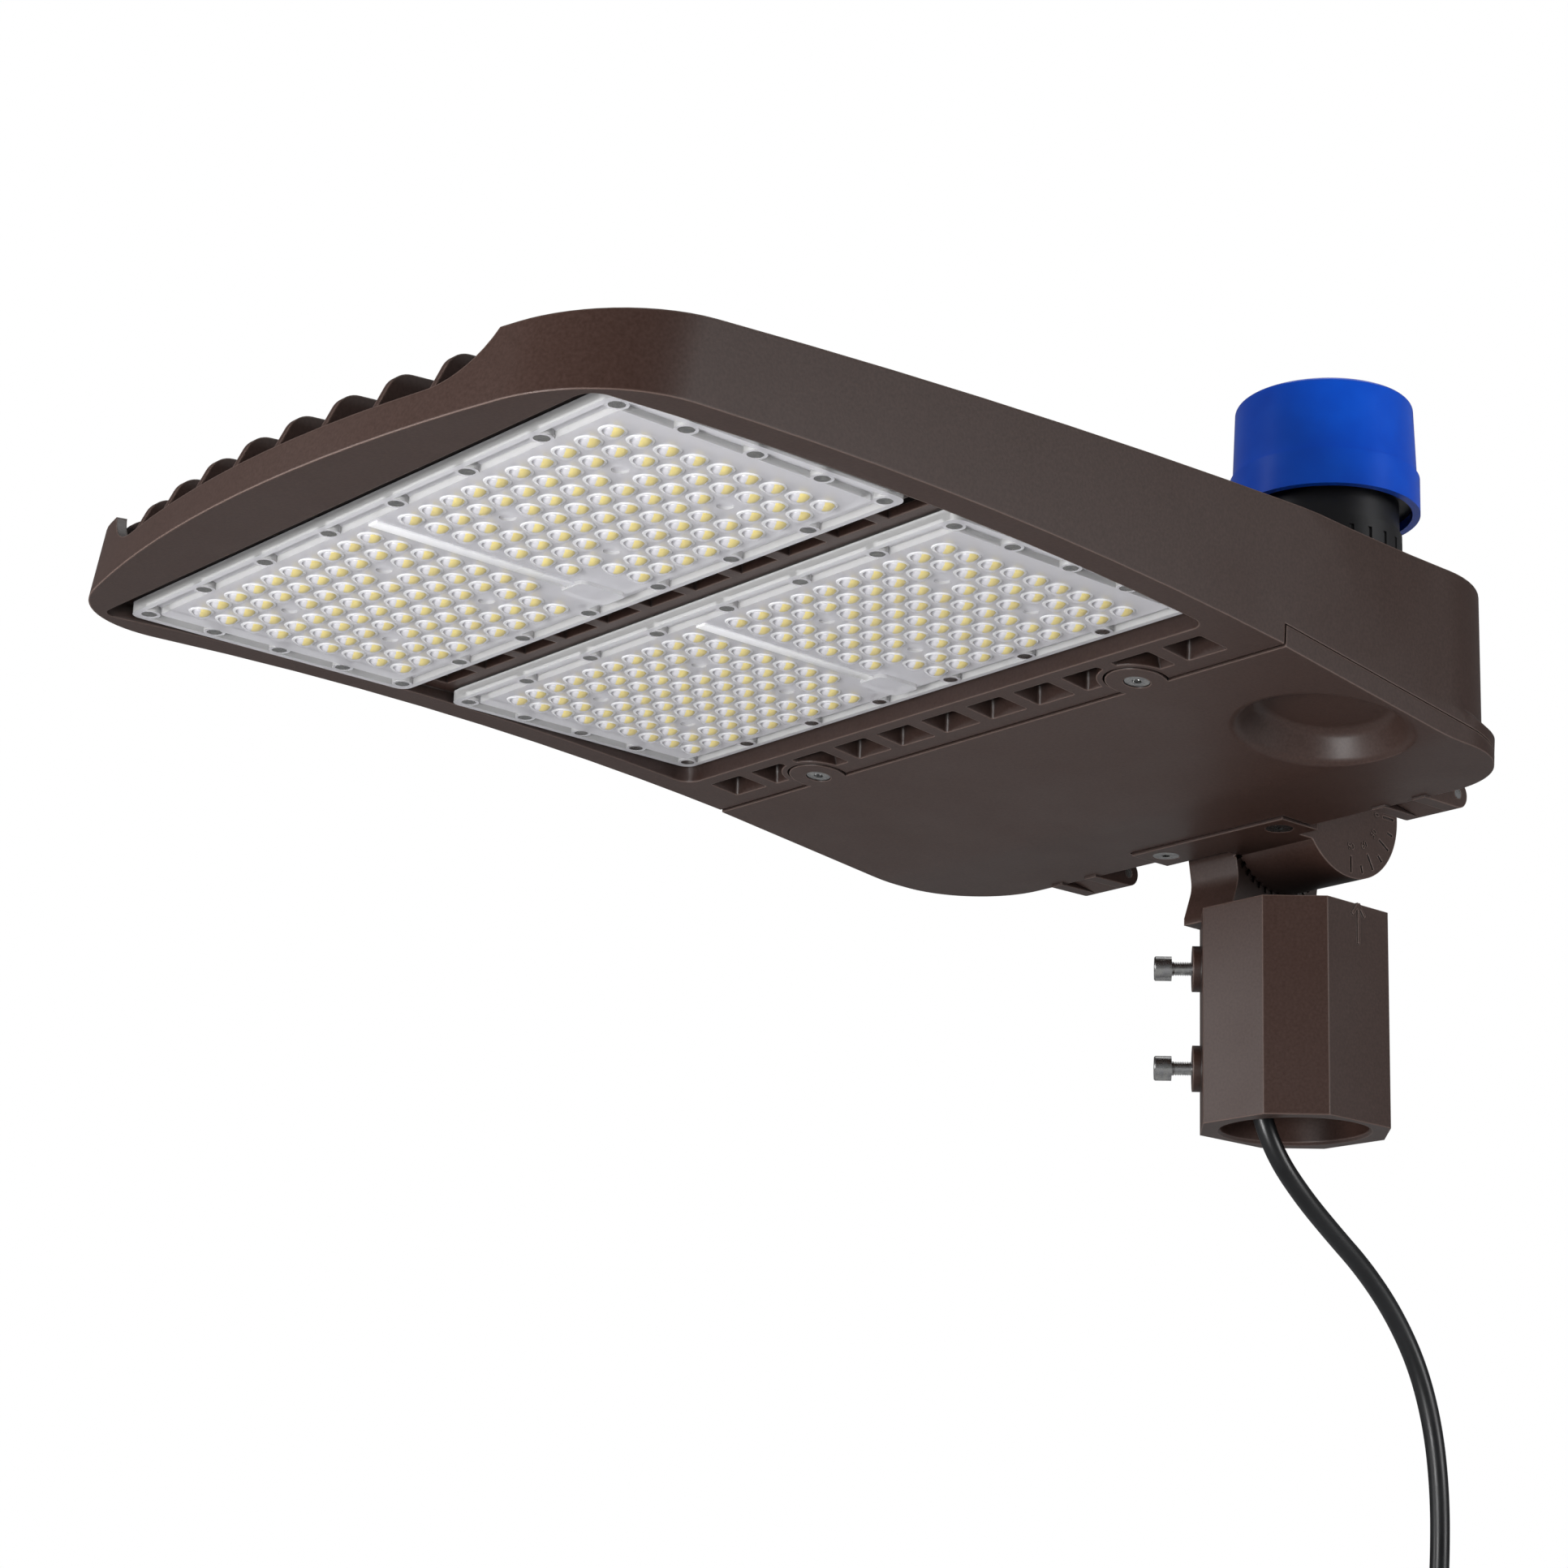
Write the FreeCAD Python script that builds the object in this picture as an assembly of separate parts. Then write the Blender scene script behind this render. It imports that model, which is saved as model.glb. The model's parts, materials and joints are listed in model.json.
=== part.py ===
import FreeCAD, Part
import math
import os

from FreeCAD import Vector

# Shoebox area light on an adjustable slip fitter.  All sizes are in millimetres.
# Origin: centre of the fitter's bore at its lower mouth.  +Z is up, -Y runs towards the front of
# the head, and +X is the side of the degree dial.

# ---- running gaps ----
JOINT_GAP = 0.3       # faces of neighbouring bodies
SHAFT_GAP = 0.05      # radial, shaft in its hole
SEAT_GAP = 0.1        # fixed pieces in their seats
OVER = 1.0            # cutting tools run this far past a face

# ---- slip fitter ----
BORE_R = 31.0         # takes a 60.3 mm tenon
TUBE_HALF_X = 35.5
TUBE_HALF_Y = 38.5
TUBE_CHAMFER = 19.0
TUBE_H = 92.0
TUBE_TOP = 6.0
MOUTH_BEVEL = 1.2
PIVOT_Z = 135.0
KNUCKLE_R = 31.0
ARM_X0 = -35.0
ARM_X1 = -8.3
ARM_NECK = 25.0       # half width of the arm above the tube
ARM_FOOT = 30.0       # half width of the arm at the tube
ARM_SHOULDER = 28.0   # half width where it runs into the disc
ARM_SHOULDER_Z = 123.0
ARM_NECK_R = 14.0
TEETH = 48
TOOTH_DEPTH = 1.0
TOOTH_INNER_R = 24.0
LEAD_HOLE_X = -20.0
LEAD_HOLE_R = 7.0
LEAD_HOLE_TOP = 120.0
ARROW_Z = 75.0
ARROW_LONG = 17.0
ARROW_LINE = 1.6
ARROW_RAISE = 0.5
ARROW_BARB = 6.4
ARROW_SPREAD = 40.0   # degrees, each barb to the stem

# ---- set screws of the fitter ----
SET_Z = (69.2, 26.2)
SET_R = 2.95
SET_HEAD_R = 5.2
SET_HEAD_H = 7.3
SET_HEAD_FAR = 58.7   # from the bore's axis to the end of the head
SET_SOCKET_R = 2.9
SET_SOCKET_DEEP = 3.6
SET_RIM_BEVEL = 0.5
SET_TIP_GAP = 0.3     # between the tip and the bore at rest
BOSS_R = 9.75
BOSS_H = 3.8

# ---- pivot bolt through the knuckle ----
BOLT_R = 5.0
BOLT_HEAD_R = 8.0
BOLT_HEAD_H = 6.0
BOLT_SINK = 9.0       # depth of the counterbore in the arm
BOLT_SOCKET_R = 4.6
BOLT_SOCKET_DEEP = 4.0
SINK_PLAY = 0.5       # round the washer in the counterbore
WASHER_R = 10.0
WASHER_T = 2.0
NUT_ACROSS = 17.0
NUT_H = 8.0
WIREWAY_R0 = 11.5     # ring-shaped wireway round the bolt
WIREWAY_R1 = 22.0

# ---- tilt bracket ----
BARREL_X0 = -8.0
BARREL_X1 = 32.0
DIAL_WALL = 4.0
PLATE_HALF = 42.0
PLATE_FRONT = -55.0
PLATE_Z0 = 116.0
PLATE_T = 8.0
PLATE_TAIL_Y = -33.0  # the plate stops here beside the arm's disc
WEB_TOP = 152.0
ARM_SWEEP_GAP = 1.5   # plate to the arm's disc
BRACKET_GASKET_T = 1.5
BRACKET_SCREW_X = 31.6
BRACKET_SCREW_Y = -45.0
BRACKET_SCREW_R = 3.0
BRACKET_HEAD_R = 5.6
BRACKET_SCREW_LONG = 17.0
BRACKET_PLAY = 0.2    # round the screw in the plate
BRACKET_SOCKET_R = 1.9
BRACKET_SOCKET_DEEP = 2.1
TICK_OUT = 28.6
TICK_LONG = 7.1
TICK_SHORT = 3.4
TICK_WIDE = 1.0
TICK_DEEP = 0.6
TICK_STEP = 15

# ---- head: plan outline, given at two levels and ruled between them ----
LEVEL_LOW = 125.0
LEVEL_HIGH = 190.0
HEAD_LOW = 115.0      # just past the head's lowest and highest points
HEAD_HIGH = 186.0
HALF_LOW = 156.8
HALF_HIGH = HALF_LOW + 3.4
APEX_LOW = -522.0
APEX_HIGH = -510.0
FRONT_R = 509.0
CORNER_R = 48.0
REAR_Y = -38.0
REAR_R = 41.0
WALL = 4.0

# ---- head: side profile ----
UNDER_CROWN_Y = -381.5
UNDER_CROWN_Z = 141.4
UNDER_R = 1812.0
TOP_CROWN_Y = -86.0
TOP_CROWN_Z = 185.3
TOP_R = 4075.0
ROOF_Y = -180.0       # the roof is level from here back
DOOR_FRONT = -187.0
SEAM_Z = 138.6        # door seam at the door's front edge
SEAM_SLOPE = -0.1302
DOOR_T = 8.4
DOOR_BEND_Y = -92.0
DOOR_REAR_Z = 116.0
BEND_R = 120.0

# ---- upper rear body, drawn in from the flared lower lip ----
SHAVE_X = (HALF_LOW + 3.2, HALF_LOW + 1.5, HALF_LOW + 0.2)
SHAVE_Y = (-172.0, -146.0)
SHAVE_STRAIGHT = 4.0
UPPER_REAR_R = 53.4
FLARE_Z0 = 126.0
FLARE_Z1 = 131.0

# ---- heat sink ----
BASE_Z = 148.8        # top of the base plate
SEAT_Z = 145.4        # underside of the base plate in the lens pocket
FIN_PAIRS = 6
FIN_EDGE = 16.55      # outermost fin's middle to the side wall's face
FIN_PITCH = (HALF_LOW - FIN_EDGE) / (FIN_PAIRS - 0.5)
FIN_T = 2.8
FIN_SETBACK = 1.5     # fin's foot behind the front wall's face
FIN_LEAN = 26.0
FIN_TIP_R = 10.0
NOTCH_HALF = HALF_LOW - 68.8
NOTCH_TOP_HALF = HALF_LOW - 41.6
NOTCH_TOP_Z = 164.05
NOTCH_FULLNESS = 0.6  # where along its run the curved side's middle point lies
POCKET_HALF = HALF_LOW - 11.5
POCKET_FRONT = -489.0
POCKET_REAR = -214.8
POCKET_R = 7.0
OPENINGS = 11
SLOT_Y = -347.0
SLOT_LONG = 19.5
SLOT_WIDE = 9.0
VENT_Y = -202.0
VENT_MOUTH = (19.0, 14.5)
VENT_THROAT = (13.0, 9.0)
VENT_SLOPE_H = 15.8
VENT_CORNER_R = 1.2

# ---- driver box ----
BOX_FRONT = -190.0
ROOF_UNDER = 180.0
RIM_H = 8.0
RIM_HALF = HALF_LOW - 7.2
RIM_FRONT = -178.0
RIM_REAR = -50.0
RIM_REAR_R = 30.0
CAVITY_FRONT_R = 6.0
RIM_FRONT_R = 4.0
PAD_HALF = 54.0
PAD_FRONT = -68.0
PAD_TOP = 134.0
WIRE_HOLE_X = 12.0
WIRE_HOLE_Z = 141.0
WIRE_HOLE_R = 6.0

# ---- lens plates and light boards ----
COLUMNS = 10          # each side of the middle
ROWS = 9
PITCH_Y = 10.902
PLATE_Y = (-417.9, -276.2)
LENS_HALF_X = POCKET_HALF - 1.0
LENS_HALF_Y = PITCH_Y * (ROWS - 1) / 2 + 16.892
PITCH_X = (LENS_HALF_X - 23.2) / COLUMNS
LENS_R = 5.0
LENS_Z0 = 140.4
GASKET_T = 0.8
PANEL_T = 2.0
TRAY_HALF_X = LENS_HALF_X - 11.8
TRAY_HALF_Y = LENS_HALF_Y - 9.5
TRAY_R = 2.0
TROUGH_HALF_X = LENS_HALF_X - 2.7
TROUGH_HALF_Y = LENS_HALF_Y - 2.3
TROUGH_WIDE = 6.0
TROUGH_DEEP = 2.6
TROUGH_R = 3.0
LENS_BOSS_R = 4.0
DOME_R = 4.75
DOME_H = 2.9
COVER_HALF = 7.0      # raised cover over the board plugs
COVER_H = 1.4
COVER_FRONT = 12.0    # from the last row's centre line
COVER_REAR = 8.0
COVER_R = 3.0
LENS_SCREW_X = (20.0, 60.0, 100.0, LENS_HALF_X - 6.3)
LENS_SCREW_Y = LENS_HALF_Y - 5.3
LENS_SIDE_STEP = 28.0
LENS_SCREW_R = 1.5
LENS_HEAD_R = 2.7
LENS_HEAD_H = 1.6
BLIND = 2.9           # depth of tapped holes in the base plate
BOARD_T = 1.6
BOARD_X0 = 2.0
BOARD_X1 = TRAY_HALF_X - 2.0
BOARD_HALF_Y = TRAY_HALF_Y - 1.5
LED_SIZE = (3.5, 2.8)
LED_H = 0.75
WELL_R = 3.0
BOARD_SCREW_R = 1.25
BOARD_HEAD_H = 1.0
PLUG_SIZE = (9.0, 12.0)
PLUG_H = 1.2
SCREW_END = 0.5       # free depth past a screw's end

# ---- door ----
DOOR_FLOOR = 3.0
DOOR_RIM = 8.0
DOOR_GAP = 0.4
DOOR_FRONT_GAP = 0.9  # the front edge swings forwards a little as it drops
EAR_X = 3.5 * FIN_PITCH
EAR_Y = -191.4
EAR_R = 12.0
EAR_T = 6.2
EAR_CLEAR = 0.8
EAR_WALL = 2.4
CAPTIVE_R = 2.1
CAPTIVE_HOLE_R = 2.6
CAPTIVE_HEAD_R = 4.8
CAPTIVE_HEAD_H = 2.6
CAPTIVE_LONG = 12.6
CAPTIVE_SINK = 0.4    # head below the door's face
CAPTIVE_RECESS_R = 1.9
CAPTIVE_RECESS_H = 1.6
DISH_X = HALF_LOW - 37.8
DISH_Y = -121.0
DISH_R = 33.0
DISH_FLOOR_R = 26.0
DISH_DEEP = 12.0
DISH_LIP_R = 5.0
DISH_FLOOR_EDGE_R = 6.0
HINGE_Y = -20.0
HINGE_Z = 122.0
HINGE_X = HALF_LOW - 66.3
HINGE_HALF = 13.5
HINGE_EYE_R = 5.8
HINGE_MID_HALF = 6.5
HINGE_PIN_R = 2.0
HINGE_ROOT_H = 12.0   # height of the housing's lugs at the wall
HINGE_ROOT_IN = 3.0   # how far the lugs run into the wall
SEAL_WIDE = 3.2
SEAL_T = 2.6
SEAL_INSET = 2.6
SEAL_FRONT = 3.0      # seal's line behind the door's front edge
SEAL_CORNER_R = 4.0

# ---- driver and wiring pieces ----
DRIVER_X0 = 14.8 - HALF_LOW
DRIVER_X = (DRIVER_X0, DRIVER_X0 + 204.0)
DRIVER_Y = (-168.0, -104.0)
DRIVER_Z = (137.5, 170.0)
DRIVER_EDGE_R = (2.0, 5.0)
DRIVER_TAB = 12.0
DRIVER_TAB_T = 3.0
DRIVER_TAB_INSET = 12.0
DRIVER_POST_INSET = 14.0
DRIVER_POST_GAP = 0.02
DRIVER_SCREW_R = 2.0
DRIVER_SCREW_HEAD_R = 3.8
DRIVER_SCREW_HEAD_H = 2.6
DRIVER_SCREW_LONG = 10.0
DRIVER_HOLE_DEEP = 8.0
SURGE_X = (28.8 - HALF_LOW, 80.8 - HALF_LOW)
SURGE_Y = (-92.0, -60.0)
SURGE_H = 26.0
SURGE_EDGE_R = 3.0
BLOCK_X = (-44.0, -4.0)
BLOCK_Y = (-88.0, -70.0)
BLOCK_H = 15.0
WAYS = 3              # poles of the terminal block
WAY_R = 2.6
WAY_DEEP = 5.0
WAY_INSET = 5.0
WIRE_R = 1.4
WIRE_GAP = 0.3
WIRE_START_Y = -17.0  # in the knuckle
WIRE_BACK = 14.0      # straight run inside the rear wall
WIRE_ARCH_Z = 158.0
WIRE_DROP_Z = 161.0
WIRE_FAN = 2.0        # the wires lie this far apart in height at the arch

# ---- photocontrol ----
EYE_IN = 56.8         # from the head's side
EYE_FORE = 57.7       # ahead of the rear wall
EYE_X = HALF_LOW - EYE_IN
EYE_Y = REAR_Y - EYE_FORE
EYE_BOSS_R = 36.0
EYE_BOSS_H = 3.4
SOCKET_GASKET_T = 1.5
SOCKET_R = 30.0
SOCKET_TOP = 210.1
SOCKET_STEM_R = 20.0
SOCKET_STEM_Z = 166.0
LOCKNUT_R = 27.0
LOCKNUT_T = 5.0
EYE_BASE_R = 29.0
EYE_FLANGE_R = 34.2
EYE_FLANGE_Z = 223.5
EYE_FLANGE_T = 5.0
CAP_Z = 219.6
CAP_STEP_Z = 234.1
CAP_TOP_Z = 264.6
CAP_SKIRT_R = 37.3
CAP_STEP_R = 36.2
CAP_TOP_R = 35.0
CAP_WALL = 2.2
CAP_EDGE_R = 2.2
BLADE_RING_R = 13.5
BLADE_WIDE = 8.0
BLADE_T = 1.6
BLADE_DOWN = 14.0
BLADE_UP = 3.0        # blade's root in the base
BLADE_PLAY = 3.0      # degrees, each way
TWIST = 20.0
EYE_TURNS = (90.0, 210.0, 330.0)
RIBS = 24
RIB_R = 0.9
RIB_INSET = 4.0
EYE_SEAL_OUT = 2.0    # from the base's edge
EYE_SEAL_WIDE = 3.0
EYE_SEAL_T = 1.6
CARD_R = 27.0
CARD_T = 1.6
CARD_LEG_R = 1.5
CARD_LEG_RING = 22.0
CARD_LEG_H = 5.0
RELAY_X = 20.0
RELAY_Y = (-14.0, 2.0)
RELAY_SHARE = 0.56    # of the room between card and cap
SENSOR_R = 4.0
SENSOR_AT = (-2.0, 14.0)
SENSOR_SHARE = 0.44

# ---- supply lead ----
LEAD_R = 4.15
LEAD_POINTS = [
    (-20.0, 0.0, 95.0), (-18.5, -5.0, 72.0), (-12.0, -15.0, 49.0), (-4.0, -22.5, 27.0),
    (1.5, -24.0, 6.0), (4.0, -16.5, -13.0), (5.0, -1.0, -28.0), (5.0, 18.0, -41.0),
    (5.0, 38.5, -54.0), (5.5, 57.0, -71.0), (7.0, 70.5, -92.0), (8.5, 78.0, -117.0),
    (9.0, 81.0, -144.0), (8.0, 81.5, -172.0), (6.0, 80.5, -200.0), (4.0, 78.5, -228.0),
]
CORE_R = 1.2
CORE_LONG = 34.0
CORE_RING = 2.0
CORE_SPLAY = 0.16
CORE_STRAIGHT = 0.4   # share of a conductor that runs straight on
LEAD_RUN_SHARE = 0.45 # share of a run that an arc at its end may use
GROMMET_R = 9.0
GROMMET_LIP = 2.0


# ---- general helpers ----
def box(x0, x1, y0, y1, z0, z1):
    return Part.makeBox(x1 - x0, y1 - y0, z1 - z0, Vector(x0, y0, z0))


def cyl(radius, start, direction, length):
    return Part.makeCylinder(radius, length, Vector(*start), Vector(*direction))


def fuse(shapes):
    joined = shapes[0].multiFuse(shapes[1:]) if len(shapes) > 1 else shapes[0]
    return joined.removeSplitter()


def cut(shape, tools):
    return shape.cut(tools)


def corner_arc(before, corner, after, radius):
    """Start, middle and end of the arc that rounds one corner of a path."""
    u = (before - corner).normalize()
    v = (after - corner).normalize()
    half = u.getAngle(v) / 2
    middle = (u + v).normalize()
    centre = corner + middle * (radius / math.sin(half))
    reach = radius / math.tan(half)
    return corner + u * reach, centre - middle * radius, corner + v * reach


def rounded_path(points, radii, closed):
    """Edges of a polyline whose corner k is rounded with radii[k]."""
    points = [Vector(*p) for p in points]
    count = len(points)
    stations = []
    for k, point in enumerate(points):
        if radii[k] and (closed or 0 < k < count - 1):
            stations.append(corner_arc(points[k - 1], point, points[(k + 1) % count], radii[k]))
        else:
            stations.append((point, None, point))
    edges = []
    for k in range(count if closed else count - 1):
        start, middle, end = stations[k]
        if middle is not None:
            edges.append(Part.Arc(start, middle, end).toShape())
        following = stations[(k + 1) % count][0]
        if (following - end).Length > 1e-4:
            edges.append(Part.LineSegment(end, following).toShape())
    return edges


def outline_face(points, radii):
    return Part.Face(Part.Wire(rounded_path(points, radii, True)))


def prism_z(points, radii, z0, z1):
    face = outline_face([(x, y, z0) for x, y in points], radii)
    return face.extrude(Vector(0, 0, z1 - z0))


def prism_x(points, radii, x0, x1):
    face = outline_face([(x0, y, z) for y, z in points], radii)
    return face.extrude(Vector(x1 - x0, 0, 0))


def plan_box(half, y0, y1, front_r, rear_r, z0, z1):
    """Block, symmetrical about the middle, with its own front and rear corner radii."""
    points = [(-half, y0), (half, y0), (half, y1), (-half, y1)]
    return prism_z(points, [front_r, front_r, rear_r, rear_r], z0, z1)


# ---- the head's outer shape ----
def at_level(low, high, z):
    return low + (high - low) * (z - LEVEL_LOW) / (LEVEL_HIGH - LEVEL_LOW)


def plan_wire(z, inset):
    """Bowed front, round front corners, straight sides and round rear corners at one level."""
    half = at_level(HALF_LOW, HALF_HIGH, z) - inset
    apex = at_level(APEX_LOW, APEX_HIGH, z) + inset
    front_r = FRONT_R - inset
    corner_r = CORNER_R - inset
    rear_r = REAR_R - inset
    rear_y = REAR_Y - inset
    bow_y = apex + front_r
    centre_x = half - corner_r
    centre_y = bow_y - math.sqrt((front_r - corner_r) ** 2 - centre_x ** 2)
    share = front_r / (front_r - corner_r)
    touch = (centre_x * share, bow_y + (centre_y - bow_y) * share)
    turn = math.atan2(centre_y - bow_y, centre_x) / 2
    bulge = (centre_x + corner_r * math.cos(turn), centre_y + corner_r * math.sin(turn))
    nick = rear_r * (1 - math.sqrt(0.5))
    side = [touch, bulge, (half, centre_y), (half, rear_y - rear_r)]
    side += [(half - nick, rear_y - nick), (half - rear_r, rear_y)]
    right = [Vector(x, y, z) for x, y in side]
    left = [Vector(-x, y, z) for x, y in side]
    edges = [
        Part.Arc(left[0], Vector(0, apex, z), right[0]),
        Part.Arc(right[0], right[1], right[2]),
        Part.LineSegment(right[2], right[3]),
        Part.Arc(right[3], right[4], right[5]),
        Part.LineSegment(right[5], left[5]),
        Part.Arc(left[5], left[4], left[3]),
        Part.LineSegment(left[3], left[2]),
        Part.Arc(left[2], left[1], left[0]),
    ]
    return Part.Wire([edge.toShape() for edge in edges])


def head_shell(inset, z0, z1):
    return Part.makeLoft([plan_wire(z0, inset), plan_wire(z1, inset)], True, True)


def crown(y, crown_y, crown_z, radius):
    """Height of a shallow arch at y."""
    return crown_z - radius + math.sqrt(radius ** 2 - (y - crown_y) ** 2)


def under_z(y):
    return crown(y, UNDER_CROWN_Y, UNDER_CROWN_Z, UNDER_R)


def top_z(y):
    return crown(min(y, ROOF_Y), TOP_CROWN_Y, TOP_CROWN_Z, TOP_R)


def seam_z(y):
    return SEAM_Z + SEAM_SLOPE * (y - DOOR_FRONT)


def front_y(x, z, inset=0.0):
    """The bowed front wall's place at x."""
    radius = FRONT_R - inset
    apex = at_level(APEX_LOW, APEX_HIGH, z) + inset
    return apex + radius - math.sqrt(radius ** 2 - x ** 2)


def yz(y, z):
    return Vector(0, y, z)


def profile_block(half, lift=0.0):
    """Everything between the underside's curve, lifted if asked, and the top edge's curve."""
    y0 = APEX_LOW - 20
    y1 = 20.0
    door = yz(DOOR_FRONT, seam_z(DOOR_FRONT) - DOOR_T + lift)
    bend = yz(DOOR_BEND_Y, seam_z(DOOR_BEND_Y) - DOOR_T + lift)
    rear = yz(y1, DOOR_REAR_Z + lift)
    soft = corner_arc(door, bend, rear, BEND_R)
    front = yz(y0, under_z(y0) + lift)
    quarter = yz(UNDER_CROWN_Y, UNDER_CROWN_Z + lift)
    edge = yz(DOOR_FRONT, under_z(DOOR_FRONT) + lift)
    roof_mid = (y0 + ROOF_Y) / 2
    roof = [yz(y0, top_z(y0)), yz(roof_mid, top_z(roof_mid)), yz(ROOF_Y, top_z(ROOF_Y))]
    back = yz(y1, top_z(ROOF_Y))
    shapes = [
        Part.Arc(front, quarter, edge),
        Part.LineSegment(edge, door),
        Part.LineSegment(door, soft[0]),
        Part.Arc(soft[0], soft[1], soft[2]),
        Part.LineSegment(soft[2], rear),
        Part.LineSegment(rear, back),
        Part.LineSegment(back, roof[2]),
        Part.Arc(roof[2], roof[1], roof[0]),
        Part.LineSegment(roof[0], front),
    ]
    face = Part.Face(Part.Wire([shape.toShape() for shape in shapes]))
    face.translate(Vector(-half, 0, 0))
    return face.extrude(Vector(2 * half, 0, 0))


def head_block():
    return head_shell(0.0, HEAD_LOW, HEAD_HIGH).common(profile_block(2 * HALF_LOW))


def seam_slab(half, y0, y1, below, above):
    """Slab along the seam's slope, from so far below it to so far above it."""
    points = [(y0, seam_z(y0) + below), (y1, seam_z(y1) + below)]
    points += [(y1, seam_z(y1) + above), (y0, seam_z(y0) + above)]
    return prism_x(points, [0] * 4, -half, half)


def seam_normal():
    return Vector(0, -SEAM_SLOPE, 1).normalize()


def door_point(x, y, rise=0.0):
    """Point on the door's flat underside, or so far into the door."""
    return Vector(x, y, seam_z(y) - DOOR_T) + seam_normal() * rise


def ear_axis(x, rise=0.0):
    return door_point(x, EAR_Y, rise)


def rear_shave():
    """What is cut off the head above the flared lip: its sides draw in towards the rear."""
    def wire(z, corner, spread):
        half = SHAVE_X[2] + spread
        nick = corner * (1 - math.sqrt(0.5))
        rear = REAR_Y + spread
        straight = REAR_Y - UPPER_REAR_R - SHAVE_STRAIGHT
        side = [(SHAVE_X[0] + spread, SHAVE_Y[0]), (SHAVE_X[1] + spread, SHAVE_Y[1])]
        side += [(half, straight), (half, rear - corner), (half - nick, rear - nick)]
        side += [(half - corner, rear)]
        right = [Vector(x, y, z) for x, y in side]
        left = [Vector(-x, y, z) for x, y in side]
        edges = [
            Part.Arc(right[0], right[1], right[2]),
            Part.LineSegment(right[2], right[3]),
            Part.Arc(right[3], right[4], right[5]),
            Part.LineSegment(right[5], left[5]),
            Part.Arc(left[5], left[4], left[3]),
            Part.LineSegment(left[3], left[2]),
            Part.Arc(left[2], left[1], left[0]),
            Part.LineSegment(left[0], right[0]),
        ]
        return Part.Wire([edge.toShape() for edge in edges])

    flare = Part.makeLoft([wire(FLARE_Z0, REAR_R, 1.0), wire(FLARE_Z1, UPPER_REAR_R, 0.0)], True, True)
    upper = Part.Face(wire(FLARE_Z1, UPPER_REAR_R, 0.0)).extrude(Vector(0, 0, 80))
    whole = box(-180, 180, SHAVE_Y[0], 0, FLARE_Z0, FLARE_Z1 + 80)
    return cut(whole, [flare, upper])


# ---- repeated places ----
def fin_places():
    right = [FIN_PITCH * (k + 0.5) for k in range(FIN_PAIRS)]
    return [-x for x in reversed(right)] + right


def opening_places():
    return [FIN_PITCH * (k - OPENINGS // 2) for k in range(OPENINGS)]


def cell(plate_y, column, row):
    """Place of one light; columns count 1..10 either way, rows 0..8 from the front."""
    return PITCH_X * column, plate_y + PITCH_Y * (row - (ROWS - 1) / 2)


def bare_cell(column, row):
    """Cells given over to a board screw or to the plug pocket."""
    screw = abs(column) in (3, 8) and row in (2, 6)
    plug = abs(column) == 1 and row >= ROWS - 2
    return screw or plug


def light_cells(plate_y):
    columns = [c for c in range(-COLUMNS, COLUMNS + 1) if c]
    return [cell(plate_y, c, r) for c in columns for r in range(ROWS) if not bare_cell(c, r)]


def board_screw_places(plate_y):
    return [cell(plate_y, side * c, r) for side in (-1, 1) for c in (3, 8) for r in (2, 6)]


def lens_screw_places(plate_y):
    places = []
    for side in (-1, 1):
        for x in LENS_SCREW_X:
            places += [(side * x, plate_y - LENS_SCREW_Y), (side * x, plate_y + LENS_SCREW_Y)]
        for k in (-1, 0, 1):
            places.append((side * LENS_SCREW_X[-1], plate_y + k * LENS_SIDE_STEP))
    return places


# ---- head housing ----
def notch_tool():
    """Low gap in the front wall, with its sides sweeping up to the corners."""
    rise = NOTCH_TOP_Z - BASE_Z
    run = NOTCH_TOP_HALF - NOTCH_HALF
    radius = (run ** 2 + rise ** 2) / (2 * rise)
    mid_x = run * NOTCH_FULLNESS
    mid_z = BASE_Z + radius - math.sqrt(radius ** 2 - mid_x ** 2)
    y0 = APEX_LOW - 10
    right = [Vector(NOTCH_HALF, y0, BASE_Z), Vector(NOTCH_HALF + mid_x, y0, mid_z)]
    right.append(Vector(NOTCH_TOP_HALF, y0, NOTCH_TOP_Z))
    left = [Vector(-p.x, p.y, p.z) for p in right]
    top = Vector(NOTCH_TOP_HALF, y0, 200)
    edges = [
        Part.LineSegment(left[0], right[0]),
        Part.Arc(right[0], right[1], right[2]),
        Part.LineSegment(right[2], top),
        Part.LineSegment(top, Vector(-top.x, y0, top.z)),
        Part.LineSegment(Vector(-top.x, y0, top.z), left[2]),
        Part.Arc(left[2], left[1], left[0]),
    ]
    face = Part.Face(Part.Wire([edge.toShape() for edge in edges]))
    return face.extrude(Vector(0, front_y(NOTCH_TOP_HALF, BASE_Z, WALL) - y0 + WALL, 0))


def fin(x, block):
    """One cast fin, leaning back at its front edge, flush with the walls' top edge."""
    reach = min(abs(x), NOTCH_TOP_HALF)
    foot = front_y(reach, BASE_Z) + FIN_SETBACK
    tip = foot + (top_z(foot) - BASE_Z) * math.tan(math.radians(FIN_LEAN))
    middle = (foot + BOX_FRONT) / 2
    back = BOX_FRONT + OVER
    points = [(foot, BASE_Z - OVER), (foot, BASE_Z), (tip, top_z(tip)), (middle, top_z(middle))]
    points += [(back, top_z(back)), (back, BASE_Z - OVER)]
    plain = prism_x(points, [0, 0, FIN_TIP_R, 0, 0, 0], x - FIN_T / 2, x + FIN_T / 2)
    return plain.common(block)


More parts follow.
